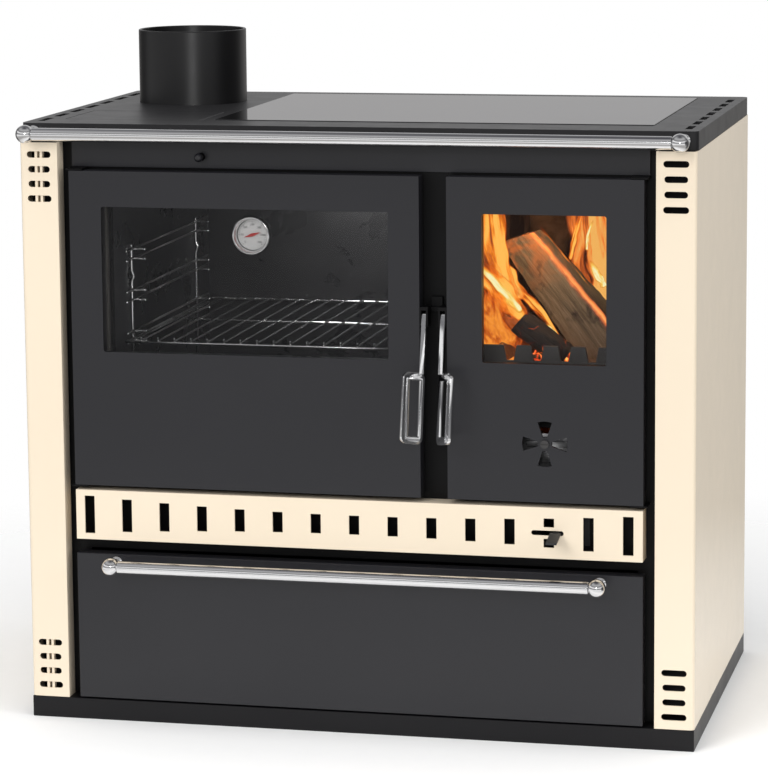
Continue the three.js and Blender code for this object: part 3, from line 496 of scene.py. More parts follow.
def fillet(points, radius, segments=4):
    made = []
    for index, point in enumerate(points):
        if index in (0, len(points) - 1):
            made.append(Vector(point))
            continue
        here = Vector(point)
        back, ahead = Vector(points[index - 1]) - here, Vector(points[index + 1]) - here
        reach = min(radius, back.length * 0.45, ahead.length * 0.45)
        start, end = here + back.normalized() * reach, here + ahead.normalized() * reach
        for step in range(segments + 1):
            t = step / segments
            made.append(start * (1 - t) ** 2 + here * (2 * t * (1 - t)) + end * t**2)
    return made


def lathe(bm, profile, centre, axis, steps):
    turned = bmesh.new()
    verts = [turned.verts.new((p[0], 0, p[1])) for p in profile]
    edges = [turned.edges.new(pair) for pair in zip(verts, verts[1:])]
    bmesh.ops.spin(
        turned, geom=verts + edges, cent=(0, 0, 0), axis=(0, 0, 1), angle=math.tau, steps=steps, use_merge=True
    )
    bmesh.ops.remove_doubles(turned, verts=turned.verts, dist=0.000002)
    bmesh.ops.recalc_face_normals(turned, faces=turned.faces)
    turn = Vector((0, 0, 1)).rotation_difference(Vector(axis)).to_matrix().to_4x4()
    turned.transform(Matrix.Translation(Vector(centre)) @ turn)
    joinInto(bm, turned)


def joinInto(bm, other):
    scrap = bpy.data.meshes.new("scrap")
    other.to_mesh(scrap)
    other.free()
    bm.from_mesh(scrap)
    bpy.data.meshes.remove(scrap)


def tube(bm, points, radius, sides=16):
    points = [Vector(p) for p in points]
    sizes = radius if isinstance(radius, list) else [radius] * len(points)
    side = (points[1] - points[0]).orthogonal().normalized()
    made = bmesh.new()
    bmesh.ops.create_circle(made, cap_ends=True, segments=sides, radius=1)
    end = made.faces[:][0]
    for index, (point, size) in enumerate(zip(points, sizes)):
        if index:
            raised = bmesh.ops.extrude_face_region(made, geom=[end, *end.edges])["geom"]
            end = next(g for g in raised if isinstance(g, bmesh.types.BMFace))
        before, after = points[max(index - 1, 0)], points[min(index + 1, len(points) - 1)]
        along = (after - before).normalized()
        side = (side - along * side.dot(along)).normalized()
        other = along.cross(side)
        for k, vert in enumerate(end.verts):
            angle = math.tau * k / sides
            vert.co = point + (side * math.cos(angle) + other * math.sin(angle)) * size
    bmesh.ops.recalc_face_normals(made, faces=made.faces)
    joinInto(bm, made)


def wire(bm, start, end, radius, sides=14):
    start, end = Vector(start), Vector(end)
    soft = (end - start).normalized() * radius * 0.45
    tube(bm, [start, start + soft, end - soft, end], [radius * 0.6, radius, radius, radius * 0.6], sides)


def roundedBox(bm, low, high, radius, segments):
    made = bmesh.new()
    bmesh.ops.create_cube(made, size=1)
    low, high = Vector(low), Vector(high)
    size, centre = high - low, (high + low) / 2
    bmesh.ops.scale(made, vec=size, verts=made.verts)
    bmesh.ops.translate(made, vec=centre, verts=made.verts)
    bmesh.ops.bevel(
        made, geom=list(made.edges), offset=radius, affect="EDGES", segments=segments, profile=0.5,
        material=-1, clamp_overlap=True,
    )
    joinInto(bm, made)


# Sheet and cast parts keep their CAD shape, with the small radii that bending and casting leave.
rounded = {
    "base_plinth": (0.0012, 3, "plinth", "anthracite_enamel"),
    "left_side_panel": (0.0007, 3, "cream", "cream_enamel"),
    "right_side_panel": (0.0007, 3, "cream", "cream_enamel"),
    "back_panel": (0.0004, 2, "blackSteel", "black_steel"),
    "front_frame": (0.0004, 2, "frameBlackPaintedShade", "black_steel"),
    "front_fascia": (0.0010, 3, "anthracite", "anthracite_enamel"),
    "vent_strip": (0.0007, 3, "cream", "cream_enamel"),
    "top_plate": (0.0014, 3, "plate", "plate_grey"),
    "hob_glass": (0.0010, 3, "hobGlass", "hob_glass"),
    "cleaning_plate": (0.0008, 3, "plate", "plate_grey"),
    "firebrick_left": (0.0020, 3, "brick", "firebrick"),
    "firebrick_right": (0.0020, 3, "brick", "firebrick"),
    "firebrick_back": (0.0020, 3, "brick", "firebrick"),
    "grate": (0.0010, 2, "castIron", "cast_iron"),
    "ember_guard": (0.0010, 3, "castIron", "cast_iron"),
    "ash_pan": (0.0003, 2, "steel", "steel"),
    "ash_pan_pull": (0.0008, 3, "steel", "steel"),
    "door_catch": (0.0006, 2, "frameBlackPaintedShade", "steel"),
    "oven_hinge_upper": (0.0004, 2, "frameBlackPaintedShade", "cast_iron"),
    "oven_hinge_lower": (0.0004, 2, "frameBlackPaintedShade", "cast_iron"),
    "fire_hinge_upper": (0.0004, 2, "frameBlackPaintedShade", "cast_iron"),
    "fire_hinge_lower": (0.0004, 2, "frameBlackPaintedShade", "cast_iron"),
    "oven_door_panel": (0.0010, 3, "anthracite", "anthracite_enamel"),
    "fire_door_panel": (0.0010, 3, "anthracite", "anthracite_enamel"),
    "oven_door_liner": (0.0005, 2, "ovenEnamel", "black_steel"),
    "fire_door_liner": (0.0005, 2, "blackSteel", "black_steel"),
    "oven_door_seal": (0.0030, 4, "rope", "rope_seal"),
    "fire_door_seal": (0.0030, 4, "rope", "rope_seal"),
    "oven_latch_fork": (0.0005, 2, "frameBlackPaintedShade", "black_steel"),
    "fire_latch_fork": (0.0005, 2, "frameBlackPaintedShade", "black_steel"),
    "oven_handle": (0.0014, 3, "handle", "chrome"),
    "fire_handle": (0.0014, 3, "handle", "chrome"),
    "air_disc": (0.0003, 2, "castIron", "cast_iron"),
    "drawer_front": (0.0012, 3, "anthracite", "anthracite_enamel"),
    "air_lever": (0.0004, 2, "blackSteel", "black_steel"),
}
for node, (width, segments, material, slotName) in rounded.items():
    roundedCopy(node, width, segments, material)
print("rounded parts made", len(rounded))

# The rest of the sheet metal is out of sight or thin, so the CAD node itself gets its finish.
plain = {
    "body_side_left": "blackSteel",
    "body_side_right": "blackSteel",
    "body_floor": "blackSteel",
    "oven_box": "ovenEnamel",
    "firebox_shell": "blackSteel",
    "smoke_divider": "blackSteel",
    "drawer_runner_left": "steel",
    "drawer_runner_right": "steel",
    "oven_glass": "ovenGlass",
    "fire_glass": "fireGlass",
    "thermometer_dial": "dial",
    "thermometer_needle": "red",
    "drawer_tray": "blackSteel",
}
for node, material in plain.items():
    shown = nodes[node].data.materials
    shown.clear()
    shown.append(materials[material])


# The flue collar is a rolled pipe end with a softened rim.
flue = {
    "centre": (-0.335, 0.108), "inner": 0.076, "outer": 0.080, "flange": 0.092, "low": 0.8377, "step": 0.8437,
}


def addFlue(f):
    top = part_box("flue_collar")[1].z
    corners = [
        (f["inner"], f["low"]), (f["flange"], f["low"]), (f["flange"], f["step"]), (f["outer"], f["step"]),
        (f["outer"], top), (f["inner"], top), (f["inner"], f["low"]),
    ]
    bm = bmesh.new()
    lathe(bm, fillet(corners, 0.0017, 4), (*f["centre"], 0), (0, 0, 1), 128)
    makePiece("flue_collar_finish", bm, "stove", "flueBlack", ("flue_collar",), 50)


addFlue(flue)

# A chrome rail: a round bar that ends in balls on short posts.
rails = {
    "bodies": {"towel_rail": "stove", "drawer_rail": "drawer"}, "neck": 0.0072, "ringGap": 0.0016,
    "shoulder": 0.0085, "stem": 0.0055, "foot": 0.0090,
}


def ballProfile(radius, steps):
    return [(math.sin(a) * radius, -math.cos(a) * radius) for a in (math.pi * k / steps for k in range(steps + 1))]


def addRail(name, body, r):
    low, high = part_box(name)
    radius = (high.z - low.z) / 2
    for side, sign in (("left", -1), ("right", 1)):
        endLow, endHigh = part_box(f"{name}_end_{side}")
        ball = (endHigh.z - endLow.z) / 2
        centre = Vector(((endLow.x + endHigh.x) / 2, endLow.y + ball, (endLow.z + endHigh.z) / 2))
        bm = bmesh.new()
        lathe(bm, ballProfile(ball, 40), centre, (sign, 0, 0), 64)
        back = endHigh.y - centre.y
        post = [
            (0.0, ball * 0.8), (r["shoulder"], ball * 0.85), (0.0068, ball + 0.002), (r["stem"], ball + 0.005),
            (r["stem"], back - 0.0042), (0.0080, back - 0.003), (r["foot"], back - 0.0022), (r["foot"], back),
            (0.0, back),
        ]
        lathe(bm, fillet(post, 0.0012, 3), centre, (0, 1, 0), 48)
        makePiece(f"{name}_{side}_ball", bm, body, "chrome", (f"{name}_end_{side}",), 50)
        # A dark groove shows where the ball screws onto the bar.
        bm = bmesh.new()
        inner = abs((low.x if sign < 0 else high.x) - centre.x)
        near, far = inner - 0.002, inner + r["ringGap"] * 2
        collar = [(0.0, near), (r["neck"], near), (r["neck"], far), (0.0, far)]
        lathe(bm, fillet(collar, 0.0005, 2), centre, (-sign, 0, 0), 40)
        makePiece(f"{name}_{side}_neck", bm, body, "blackSteel")
    bm = bmesh.new()
    half = (high.x - low.x) / 2 - r["ringGap"]
    bar = [(0, -half), (radius, -half), (radius, half), (0, half)]
    lathe(bm, fillet(bar, 0.0008, 4), (low + high) / 2, (1, 0, 0), 64)
    makePiece(f"{name}_bar", bm, body, "chrome", (name,), 50)


for name, body in rails["bodies"].items():
    addRail(name, body, rails)

# The damper rod ends in a small dark ball.
damper = {"x": -0.220, "z": 0.804, "knob": 0.006, "nose": 0.0003, "skin": 0.0002}


def addDamper(d):
    bm = bmesh.new()
    bm.from_mesh(nodes["damper_rod"].data)
    bmesh.ops.remove_doubles(bm, verts=bm.verts, dist=0.000004)
    makePiece("damper_rod_finish", bm, "damper", "castIron", ("damper_rod",), 50)
    bm = bmesh.new()
    centre = (d["x"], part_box("damper_rod")[0].y + d["knob"] + d["nose"], d["z"])
    lathe(bm, ballProfile(d["knob"] + d["skin"], 24), centre, (0, 1, 0), 40)
    makePiece("damper_knob_skin", bm, "damper", "anthracite")


addDamper(damper)

# Wire shelf and the ladders that it slides on.
shelf = {
    "frame": 0.002, "wire": 0.0015, "wires": 15, "pitch": 0.0242, "crossRods": (-0.214, 0.005, 0.224),
    "lap": 0.0005, "pip": 0.0050, "bend": 0.0025,
}


def addShelf(s):
    low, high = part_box("oven_shelf")
    bm = bmesh.new()
    level = low.z + s["frame"]
    front, _, back = s["crossRods"]
    for y in s["crossRods"]:
        wire(bm, (low.x, y, level), (high.x, y, level), s["frame"])
    for x in (low.x + s["frame"], high.x - s["frame"]):
        wire(bm, (x, front, level), (x, back, level), s["frame"])
    middle = (low.x + high.x) / 2
    top = high.z - s["wire"]
    near = front - s["lap"]
    for index in range(s["wires"]):
        x = middle + (index - (s["wires"] - 1) / 2) * s["pitch"]
        path = fillet([(x, near, top + s["pip"]), (x, near, top), (x, back, top)], s["bend"], 4)
        tube(bm, path, s["wire"], 12)
    makePiece("oven_shelf_wires", bm, "stove", "wire", ("oven_shelf",), 60)


addShelf(shelf)

ladders = {
    "wire": 0.002, "levels": (0.531, 0.545, 0.590, 0.604, 0.649, 0.663), "posts": (-0.170, 0.155), "reach": 0.205,
    "stubs": {"left": 0.018, "right": 0.007}, "kink": 0.0035, "kinkAt": (0.630, 0.623, 0.616), "foot": 0.014,
    "rise": 0.012, "runnerIn": 0.003, "stubBack": 0.004,
}


def addLadder(side, inward, s):
    low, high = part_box(f"rack_support_{side}")
    wall = low.x if inward > 0 else high.x
    x = wall + inward * s["wire"]
    rodX = x + inward * s["runnerIn"]
    bend, toe = x + inward * s["kink"], x + inward * s["foot"]
    above, at, below = s["kinkAt"]
    bm = bmesh.new()
    for y in s["posts"]:
        path = [
            (x, y, high.z), (x, y, above), (bend, y, at), (x, y, below), (x, y, low.z + s["rise"]),
            (toe, y, low.z + s["wire"]),
        ]
        tube(bm, fillet(path, 0.003, 4), s["wire"])
    for level in s["levels"]:
        wire(bm, (rodX, -s["reach"], level), (rodX, s["reach"], level), s["wire"])
        # Short cross pieces are welded where each runner passes a post.
        for y in s["posts"]:
            tip = (rodX + inward * s["stubs"][side], y - 2 * s["wire"], level)
            tube(bm, [(rodX - inward * s["stubBack"], *tip[1:]), tip], s["wire"] * 0.8, 12)
            bead = bmesh.new()
            bmesh.ops.create_icosphere(bead, subdivisions=2, radius=s["wire"] * 1.15)
            bmesh.ops.translate(bead, vec=tip, verts=bead.verts)
            joinInto(bm, bead)
    makePiece(f"rack_{side}_wires", bm, "stove", "wire", (f"rack_support_{side}",), 60)


addLadder("left", 1, ladders)
addLadder("right", -1, ladders)
print("rails and wires made")

# Thermometer: a deep bezel round a small printed dial.
gauge = {
    "x": -0.149, "z": 0.696, "rim": 0.0275, "throat": 0.0219, "scale": 0.0197, "tick": 0.0022, "figure": 0.0042,
    "first": -135, "tickStep": 9, "ticks": 31, "figureStep": 45, "figures": 7, "degrees": 50, "figureIn": 0.0052,
    "print": 0.00015, "strapHalf": 0.012, "strapThick": 0.0012, "strapFoot": 0.0225, "crystal": 0.0216,
}


def addThermometer(g):
    low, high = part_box("thermometer_case")
    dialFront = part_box("thermometer_dial")[0].y
    front, back = low.y, high.y
    rim, throat = g["rim"], g["throat"]
    corners = [
        (0.0, back), (rim - 0.0010, back), (rim, back - 0.0015), (rim, front + 0.0022),
        (rim - 0.0016, front + 0.0004), (rim - 0.0034, front), (throat + 0.0010, front + 0.0022),
        (throat, front + 0.0050), (throat, dialFront + 0.0020), (0.0, dialFront + 0.0020),
    ]
    bm = bmesh.new()
    profile = [(p.x, -p.y) for p in fillet(corners, 0.0006, 3)]
    lathe(bm, profile, (g["x"], 0, g["z"]), (0, -1, 0), 96)
    strap = bmesh.new()
    strapLow = (g["x"] - g["strapHalf"], back - g["strapThick"], g["z"] + g["strapFoot"])
    roundedBox(strap, strapLow, (g["x"] + g["strapHalf"], back, high.z), 0.0004, 2)
    makePiece("thermometer_strap", strap, "oven_door", "blackSteel")
    makePiece("thermometer_bezel", bm, "oven_door", "chrome", ("thermometer_case",), 40)
    bm = bmesh.new()
    dial = Matrix.Translation((g["x"], dialFront, g["z"]))
    for index in range(g["ticks"]):
        length, width = (g["tick"], 0.0007) if index % 5 == 0 else (g["tick"] * 0.55, 0.0004)
        turn = Matrix.Rotation(math.radians(g["first"] + g["tickStep"] * index), 4, "Y")
        shift = Matrix.Translation((0, -0.000125, g["scale"] - length / 2))
        size = Matrix.Diagonal((width, g["print"], length, 1))
        bmesh.ops.create_cube(bm, size=1, matrix=dial @ turn @ shift @ size)
    reach = g["scale"] - g["figureIn"]
    for index in range(g["figures"]):
        angle = math.radians(g["first"] + g["figureStep"] * index)
        curve = bpy.data.curves.new("figure", "FONT")
        curve.body = str(g["degrees"] * index)
        curve.size = g["figure"]
        curve.align_x = curve.align_y = "CENTER"
        curve.extrude = 0.00006
        curve.resolution_u = 2
        holder = bpy.data.objects.new("figure", curve)
        scene.collection.objects.link(holder)
        mesh = bpy.data.meshes.new_from_object(holder)
        bpy.data.objects.remove(holder)
        place = dial @ Matrix.Translation((math.sin(angle) * reach, -0.00022, math.cos(angle) * reach))
        mesh.transform(place @ Matrix.Rotation(math.pi / 2, 4, "X"))
        bm.from_mesh(mesh)
        bpy.data.meshes.remove(mesh)
    makePiece("thermometer_figures", bm, "oven_door", "ink")
    # The cover glass is slightly domed.
    bm = bmesh.new()
    rim = g["crystal"]
    dome = [(0.0, 0.0014), (0.008, 0.0012), (0.015, 0.0007), (rim, 0.0), (rim, -0.0008), (0.0, -0.0008)]
    lathe(bm, dome, (g["x"], front + 0.0052, g["z"]), (0, -1, 0), 64)
    makePiece("thermometer_crystal", bm, "oven_door", "crystal", smooth=30)


addThermometer(gauge)
print("thermometer made")

# Fire: an ember bed on the grate, burning logs and sheets of flame. The bricks and the guard hold it in.
fire = {"left": 0.1635, "right": 0.3765, "front": -0.215, "guard": -0.232, "back": 0.1785, "grate": 0.4704}
embers = {"cells": (44, 70), "lift": 0.0003, "edge": 0.020, "heap": 0.022, "lump": 0.007, "coal": 0.006}


def unitGrid(bm, across, up):
    bm.loops.layers.uv.new("UVMap")
    bmesh.ops.create_grid(bm, x_segments=across, y_segments=up, size=0.5, calc_uvs=True)


def gridPlace(vert, across, up):
    return round((vert.co.x + 0.5) * across) / across, round((vert.co.y + 0.5) * up) / up


def addEmbers(f, e):
    bm = bmesh.new()
    bmesh.ops.create_grid(bm, x_segments=e["cells"][0], y_segments=e["cells"][1], size=0.5)
    raised = bmesh.ops.extrude_face_region(bm, geom=bm.faces[:])["geom"]
    for vert in bm.verts:
        across, along = gridPlace(vert, *e["cells"])
        x = f["left"] + (f["right"] - f["left"]) * across
        y = f["front"] + (f["back"] - f["front"]) * along
        vert.co = (x, y, f["grate"] + e["lift"])
    for vert in (v for v in raised if isinstance(v, bmesh.types.BMVert)):
        x, y, _ = vert.co
        along = (y - f["front"]) / (f["back"] - f["front"])
        lump = noise.fractal(Vector((x * 60, y * 60, 2.0)), 0.9, 2.0, 4)
        coal = noise.cell(Vector((x * 75, y * 75, 0.5)))
        heap = e["edge"] + e["heap"] * max(0.0, math.sin(math.pi * along)) ** 0.6
        vert.co.z = f["grate"] + heap + e["lump"] * lump + e["coal"] * coal
    bmesh.ops.recalc_face_normals(bm, faces=bm.faces)
    makePiece("ember_bed", bm, "stove", "embers", smooth=25)


addEmbers(fire, embers)

logs = {
    "log_split": {
        "start": (0.202, -0.112, 0.684), "end": (0.330, -0.116, 0.520), "radius": (0.034, 0.046),
        "flats": ((1.62, 0.42), (0.25, 0.80), (3.35, 0.72)), "material": "splitWood", "seed": 3, "slant": 0.35,
    },
    "log_left": {
        "start": (0.170, -0.172, 0.600), "end": (0.214, -0.170, 0.530), "radius": (0.026, 0.028),
        "flats": ((1.2, 0.7),), "material": "glowingWood", "seed": 17, "slant": 0.2,
    },
    "log_front": {
        "start": (0.219, -0.207, 0.578), "end": (0.286, -0.206, 0.531), "radius": (0.0185, 0.0175),
        "flats": ((1.6, 0.85),), "material": "burntWood", "seed": 11, "slant": 0.1,
    },
    "log_under": {
        "start": (0.192, -0.040, 0.522), "end": (0.352, -0.050, 0.518), "radius": (0.030, 0.030),
        "flats": ((2.0, 0.6),), "material": "burntWood", "seed": 31, "slant": 0.0,
    },
    "log_back": {
        "start": (0.192, 0.060, 0.530), "end": (0.350, 0.085, 0.572), "radius": (0.034, 0.034),
        "flats": ((1.0, 0.6), (3.0, 0.6)), "material": "burntWood", "seed": 23, "slant": 0.0,
    },
}


def addLog(name, g):
    start, end = Vector(g["start"]), Vector(g["end"])
    along = (end - start).normalized()
    side = along.cross(Vector((0, 1, 0))).normalized()
    other = along.cross(side)
    cells = (40, 44)
    bm = bmesh.new()
    unitGrid(bm, *cells)
    layer = bm.loops.layers.uv.active
    for vert in bm.verts:
        turn, t = gridPlace(vert, *cells)
        angle = math.tau * turn
        x, y = math.cos(angle), math.sin(angle)
        centre = start.lerp(end, t) + other * 0.003 * math.sin(3 * t + g["seed"])
        cuts = [depth / math.cos(angle - flat) for flat, depth in g["flats"] if math.cos(angle - flat) > depth]
        grain = noise.fractal(Vector((x * 3, y * 3 + g["seed"], t * 1.6)), 0.8, 2.1, 4)
        rough = noise.fractal(Vector((x * 9, y * 9, t * 9 + g["seed"])), 0.8, 2.1, 3)
        taper = 1.0 - 0.10 * abs(2 * t - 1) ** 5
        thick = g["radius"][0] * (1 - t) + g["radius"][1] * t
        out = (side * x + other * y) * thick * min([1.0, *cuts]) * taper * (1 + 0.07 * grain + 0.05 * rough)
        # The saw left the upper end at a slant.
        vert.co = centre + out + along * out.dot(side) * g["slant"] * (1 - t)
    bmesh.ops.remove_doubles(bm, verts=bm.verts, dist=0.000001)
    for centre, outward in ((start, -1), (end, 1)):
        known = set(bm.faces)
        near = (end - start).length / 2
        rim = [e for e in bm.edges if e.is_boundary and (e.verts[0].co - centre).length < near]
        step = bmesh.ops.extrude_edge_only(bm, edges=rim)["geom"]
        for vert in (v for v in step if isinstance(v, bmesh.types.BMVert)):
            vert.co = vert.co.lerp(centre, 0.5) + along * 0.002 * outward * noise.noise(vert.co * 90)
        rim = [e for e in step if isinstance(e, bmesh.types.BMEdge) and e.is_boundary]
        cap = bmesh.ops.holes_fill(bm, edges=rim)["faces"]
        bmesh.ops.poke(bm, faces=cap)["verts"][0].co = centre
        for loop in (loop for face in bm.faces if face not in known for loop in face.loops):
            away = loop.vert.co - centre
            loop[layer].uv = (away.dot(side) * 12, away.dot(other) * 12)
    bmesh.ops.recalc_face_normals(bm, faces=bm.faces)
    makePiece(name, bm, "stove", g["material"], smooth=50)


for name, values in logs.items():
    addLog(name, values)
print("logs made")

orange = ((0.42, 0.03, 0.002), (0.90, 0.15, 0.010), (1.0, 0.27, 0.022), (1.0, 0.50, 0.09))
yellow = ((0.80, 0.12, 0.01), (1.0, 0.34, 0.03), (1.0, 0.66, 0.12), (1.0, 0.93, 0.52))
peach = ((0.18, 0.026, 0.010), (0.66, 0.12, 0.022), (0.98, 0.24, 0.035), (1.0, 0.50, 0.12))
deep = ((0.10, 0.010, 0.002), (0.38, 0.055, 0.006), (0.72, 0.15, 0.015), (1.0, 0.33, 0.04))
flameKinds = {
    "flameOrange": {
        "tones": orange, "strength": 1.15, "stretch": (2.4, 1.2), "twist": 1.1,
        "ragged": 2.0, "fill": 0.05, "tip": 0.70, "soft": 0.75,
    },
    "flameYellow": {
        "tones": yellow, "strength": 1.05, "stretch": (1.6, 2.0), "twist": 0.7,
        "ragged": 1.4, "fill": 0.12, "tip": 0.75, "soft": 0.70,
    },
    "flamePeach": {
        "tones": peach, "strength": 1.0, "stretch": (3.6, 1.3), "twist": 1.2,
        "ragged": 2.1, "fill": 0.08, "tip": 0.80, "soft": 0.65,
    },
    "flameDeep": {
        "tones": deep, "strength": 1.0, "stretch": (3.0, 2.6), "twist": 1.3,
        "ragged": 2.0, "fill": 0.10, "tip": 0.80, "soft": 0.45,
    },
}
for name, values in flameKinds.items():
    materials[name] = flameMaterial(name, values)

# Each tongue of flame follows a path of (x, y, z, width), from its foot to its tip.
flames = {
    "flame_column": {
        "kind": "flameOrange", "bow": 0.010,
        "path": (
            (0.207, -0.205, 0.606, 0.038), (0.192, -0.205, 0.650, 0.042),
            (0.180, -0.205, 0.705, 0.046), (0.178, -0.205, 0.800, 0.048),
        ),
    },
    "flame_shoulder": {
        "kind": "flameOrange", "bow": -0.006,
        "path": (
            (0.214, -0.150, 0.600, 0.018), (0.200, -0.150, 0.624, 0.026),
            (0.188, -0.150, 0.650, 0.018), (0.182, -0.150, 0.690, 0.006),
        ),
    },
    "flame_diagonal": {
        "kind": "flameYellow", "bow": 0.004,
        "path": (
            (0.225, -0.219, 0.592, 0.007), (0.210, -0.219, 0.610, 0.014),
            (0.187, -0.219, 0.636, 0.012), (0.160, -0.219, 0.662, 0.007),
        ),
    },
    "flame_halo": {
        "kind": "flameOrange", "bow": 0.006,
        "path": (
            (0.228, -0.212, 0.580, 0.020), (0.206, -0.212, 0.606, 0.044),
            (0.184, -0.212, 0.630, 0.046), (0.160, -0.212, 0.658, 0.040),
        ),
    },
    "flame_band": {
        "kind": "flameOrange", "bow": 0.004,
        "path": (
            (0.276, -0.180, 0.545, 0.003), (0.254, -0.176, 0.575, 0.011),
            (0.234, -0.172, 0.597, 0.016), (0.208, -0.168, 0.620, 0.012),
        ),
    },
    "flame_band_core": {
        "kind": "flameYellow", "bow": 0.002,
        "path": ((0.276, -0.184, 0.546, 0.003), (0.264, -0.182, 0.561, 0.006), (0.252, -0.180, 0.573, 0.003)),
    },
    "flame_curtain": {
        "kind": "flamePeach", "bow": 0.015,
        "path": ((0.312, -0.012, 0.570, 0.11), (0.306, -0.014, 0.650, 0.105), (0.298, -0.016, 0.790, 0.10)),
    },
    "flame_streak_one": {
        "kind": "flameOrange", "bow": 0.001,
        "path": ((0.260, -0.030, 0.640, 0.006), (0.266, -0.030, 0.672, 0.010), (0.278, -0.030, 0.712, 0.007)),
    },
    "flame_streak_two": {
        "kind": "flameYellow", "bow": 0.001,
        "path": (
            (0.284, -0.032, 0.655, 0.004), (0.286, -0.032, 0.676, 0.005),
            (0.294, -0.032, 0.700, 0.0025),
        ),
    },
    "flame_bright": {
        "kind": "flameYellow", "bow": 0.002,
        "path": ((0.314, -0.054, 0.606, 0.009), (0.305, -0.054, 0.622, 0.013), (0.292, -0.052, 0.645, 0.004)),
    },
    "flame_ridge": {
        "kind": "flameOrange", "bow": 0.002,
        "path": (
            (0.330, -0.100, 0.575, 0.006), (0.300, -0.100, 0.610, 0.007),
            (0.262, -0.100, 0.656, 0.006), (0.228, -0.100, 0.700, 0.003),
        ),
    },
    "flame_glow": {
        "kind": "flameDeep", "bow": 0.006,
        "path": ((0.196, -0.200, 0.500, 0.085), (0.188, -0.200, 0.550, 0.070), (0.176, -0.198, 0.625, 0.050)),
    },
    "flame_notch": {
        "kind": "flameYellow", "bow": 0.001,
        "path": ((0.196, -0.226, 0.512, 0.010), (0.199, -0.226, 0.532, 0.006), (0.200, -0.226, 0.552, 0.002)),
    },
    "flame_rear": {
        "kind": "flamePeach", "bow": 0.015,
        "path": ((0.330, 0.140, 0.520, 0.10), (0.332, 0.140, 0.620, 0.09), (0.330, 0.140, 0.700, 0.05)),
    },
}


def pathPoint(path, t):
    place = t * (len(path) - 1)
    index = min(int(place), len(path) - 2)
    part = place - index
    a, b, c, d = (Vector(path[max(0, min(index + k, len(path) - 1))]) for k in (-1, 0, 1, 2))
    curve = (2 * a - 5 * b + 4 * c - d) * part**2 + (3 * b - a - 3 * c + d) * part**3
    return 0.5 * (2 * b + (c - a) * part + curve)


def addFlame(name, g):
    cells = (16, 40)
    bm = bmesh.new()
    unitGrid(bm, *cells)
    seed = 10 * list(flames).index(name)
    for vert in bm.verts:
        u, v = gridPlace(vert, *cells)
        here = pathPoint(g["path"], v)
        along = pathPoint(g["path"], min(1, v + 0.02)) - pathPoint(g["path"], max(0, v - 0.02))
        across = Vector((along.z, 0, -along.x)).normalized()
        width = max(here.w, 0.001)
        wave = noise.noise(Vector((u * 2.0 + seed, v * 4.0, seed)))
        edge = noise.noise(Vector((seed, v * 5.0, 3.0 + (u > 0.5))))
        spot = here.to_3d() + across * width * ((u - 0.5) * (1 + 0.5 * edge))
        spot.y += g["bow"] * (4 * u * (1 - u) - 0.5) + 0.25 * width * wave
        spot.x = min(max(spot.x, fire["left"]), fire["right"])
        spot.y = min(max(spot.y, fire["guard"]), fire["back"])
        vert.co = spot
    makePiece(name, bm, "stove", g["kind"], smooth=80)


for name, values in flames.items():
    addFlame(name, values)
print("flames made")

# Screws hold the rear sheet.
screws = {
    "face": 0.2772, "columns": (-0.430, 0.0, 0.430), "rows": (0.045, 0.30, 0.56, 0.81),
    "head": (
        (0.0, 0.0), (0.0038, 0.0), (0.0039, 0.0006), (0.0030, 0.0017), (0.0012, 0.0021), (0.0010, 0.0011),
        (0.0, 0.0010),
    ),
}


def addScrews(s):
    bm = bmesh.new()
    for x in s["columns"]:
        for z in s["rows"]:
            lathe(bm, s["head"], (x, s["face"], z), (0, 1, 0), 24)
    makePiece("back_panel_screws", bm, "stove", "steel", smooth=45)


addScrews(screws)

# Studio lights: a large soft one from the front left, weaker ones around. Metal shows only the mirrored ones.
lights = {
    "key": {"place": (-1.9, -4.4, 2.6), "aim": (0, 0, 0.45), "size": 2.2, "power": 116},
    "front": {"place": (0.9, -4.5, 1.75), "aim": (0, 0, 0.55), "size": 0.7, "power": 20, "mirrored": True},
    "top": {"place": (0.2, -0.6, 3.4), "aim": (0, 0, 0.8), "size": 2.8, "power": 62},
    "side": {"place": (3.6, -1.2, 1.7), "aim": (0.4, 0, 0.5), "size": 2.2, "power": 44},
    "oven": {
        "place": (-0.10, 0.02, 0.738), "aim": (-0.04, 0.23, 0.58), "size": 0.12, "power": 0.86, "mirrored": True,
    },
    "fire": {
        "place": (0.262, -0.215, 0.728), "aim": (0.25, -0.10, 0.58), "size": 0.09, "power": 0.45,
        "colour": (1.0, 0.62, 0.34),
    },
}


def addLight(name, light):
    data = bpy.data.lights.new(name, "AREA")
    data.shape, data.size, data.energy = "SQUARE", light["size"], light["power"]
    data.color = light.get("colour", (1.0, 1.0, 1.0))
    lamp = bpy.data.objects.new(name, data)
    scene.collection.objects.link(lamp)
    lamp.visible_glossy = light.get("mirrored", False)
    lamp.location = light["place"]
    towards = Vector(light["aim"]) - Vector(light["place"])
    lamp.rotation_euler = towards.to_track_quat("-Z", "Y").to_euler()


for name, light in lights.items():
    addLight(name, light)

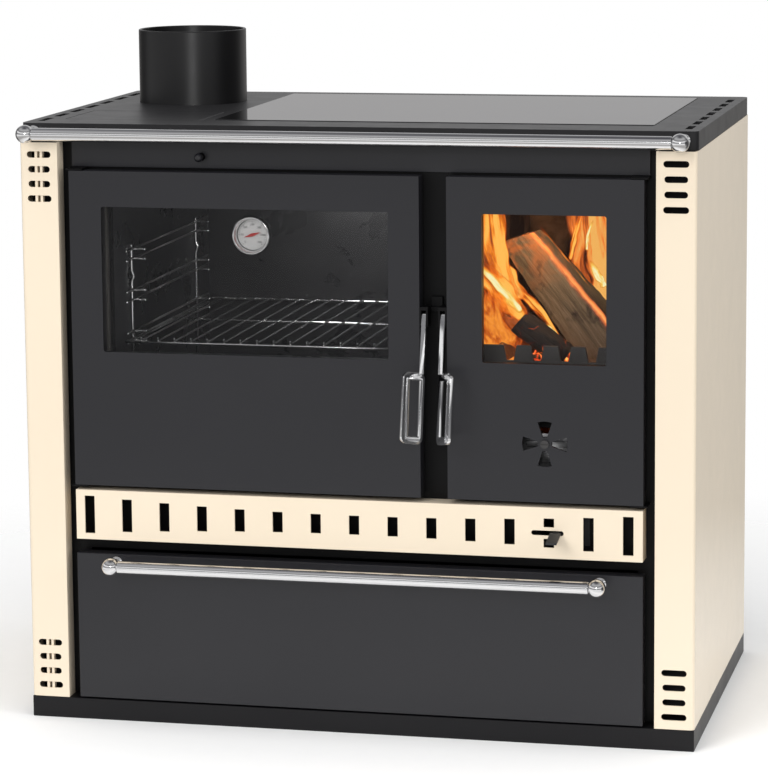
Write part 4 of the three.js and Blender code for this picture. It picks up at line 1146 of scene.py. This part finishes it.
# What the metal and glass mirror, by height: levels from straight down (0) to straight up (1), with greys.
surroundings = {
    # "ahead" is the camera's side of the room and "behind" the wall behind the stove; both darken to the sides.
    "ahead": (
        (0.10, 0.42, 0.41, 0.40), (0.34, 0.50, 0.49, 0.48), (0.375, 0.98, 0.98, 0.98), (0.455, 0.98, 0.98, 0.98),
        (0.485, 0.50, 0.50, 0.50), (0.53, 0.32, 0.32, 0.33), (0.585, 0.14, 0.14, 0.15), (0.60, 0.98, 0.98, 0.98),
        (0.70, 0.98, 0.98, 0.98), (0.715, 0.16, 0.16, 0.17), (0.74, 0.20, 0.20, 0.21), (0.86, 0.50, 0.50, 0.50),
        (0.93, 0.42, 0.42, 0.43), (1.0, 0.06, 0.06, 0.07),
    ),
    "behind": (
        (0.30, 0.34, 0.33, 0.31), (0.50, 0.46, 0.45, 0.44), (0.56, 0.60, 0.595, 0.60), (0.64, 0.74, 0.74, 0.74),
        (0.74, 0.62, 0.62, 0.63), (0.90, 0.16, 0.16, 0.17),
    ),
    "aheadEnd": (0.89, 0.97, 1.0, 0.10),
    "behindEnd": (0.50, 0.80, 1.0, 0.14),
    "dark": (0.02, 0.02, 0.022, 1),
    "diffuse": (0.52, 0.52, 0.52, 1),
}


def addWorld(w):
    world = bpy.data.worlds.new("studio")
    scene.world = world
    world.use_nodes = True
    tree = world.node_tree
    tree.nodes.clear()
    parts = addNode(tree, "ShaderNodeSeparateXYZ", {"Vector": coordinates(tree, "Generated")}).outputs
    level = spread(tree, parts["Z"], -1, 1)
    sideways = {"ahead": parts["X"], "behind": maths(tree, "ABSOLUTE", parts["X"])}
    halves = []
    for half, offside in sideways.items():
        tones = ramp(tree, level, [(stop[0], stop[1:]) for stop in w[half]])
        mask = spread(tree, offside, *w[half + "End"])
        halves.append(mixColour(tree, mask, w["dark"], tones))
    mirrored = mixColour(tree, spread(tree, parts["Y"], 0.02, 0.30), *halves)
    path = addNode(tree, "ShaderNodeLightPath").outputs
    colour = mixColour(tree, path["Is Glossy Ray"], w["diffuse"], mirrored)
    seen = maths(tree, "MAXIMUM", path["Is Camera Ray"], path["Is Transmission Ray"])
    colour = mixColour(tree, seen, colour, (1, 1, 1, 1))
    shader = addNode(tree, "ShaderNodeBackground", {"Color": colour, "Strength": 1.0})
    wireUp(tree, addNode(tree, "ShaderNodeOutputWorld"), Surface=shader.outputs[0])


addWorld(surroundings)

# The floor fades out, so its edge does not show.
studioFloor = {"size": 2.0, "fade": (0.62, 1.5), "tones": ((0.92, 0.92, 0.92, 1), (0.94, 0.94, 0.94, 1))}


def addFloor(f):
    material, tree, shader = newMaterial("floor", Roughness=0.85)
    place = coordinates(tree)
    grain = cloud(tree, place, 40.0, 2.0)
    away = addNode(tree, "ShaderNodeVectorMath", {0: place}, operation="LENGTH").outputs["Value"]
    alpha = spread(tree, away, *f["fade"], 1.0, 0.0)
    wireUp(tree, shader, Base_Color=mixColour(tree, grain, *f["tones"]), Alpha=alpha)
    bm = bmesh.new()
    bmesh.ops.create_grid(bm, x_segments=2, y_segments=2, size=f["size"])
    mesh = bpy.data.meshes.new("floor")
    bm.to_mesh(mesh)
    bm.free()
    mesh.materials.append(material)
    floor = bpy.data.objects.new("floor", mesh)
    scene.collection.objects.link(floor)


addFloor(studioFloor)
print("studio made")
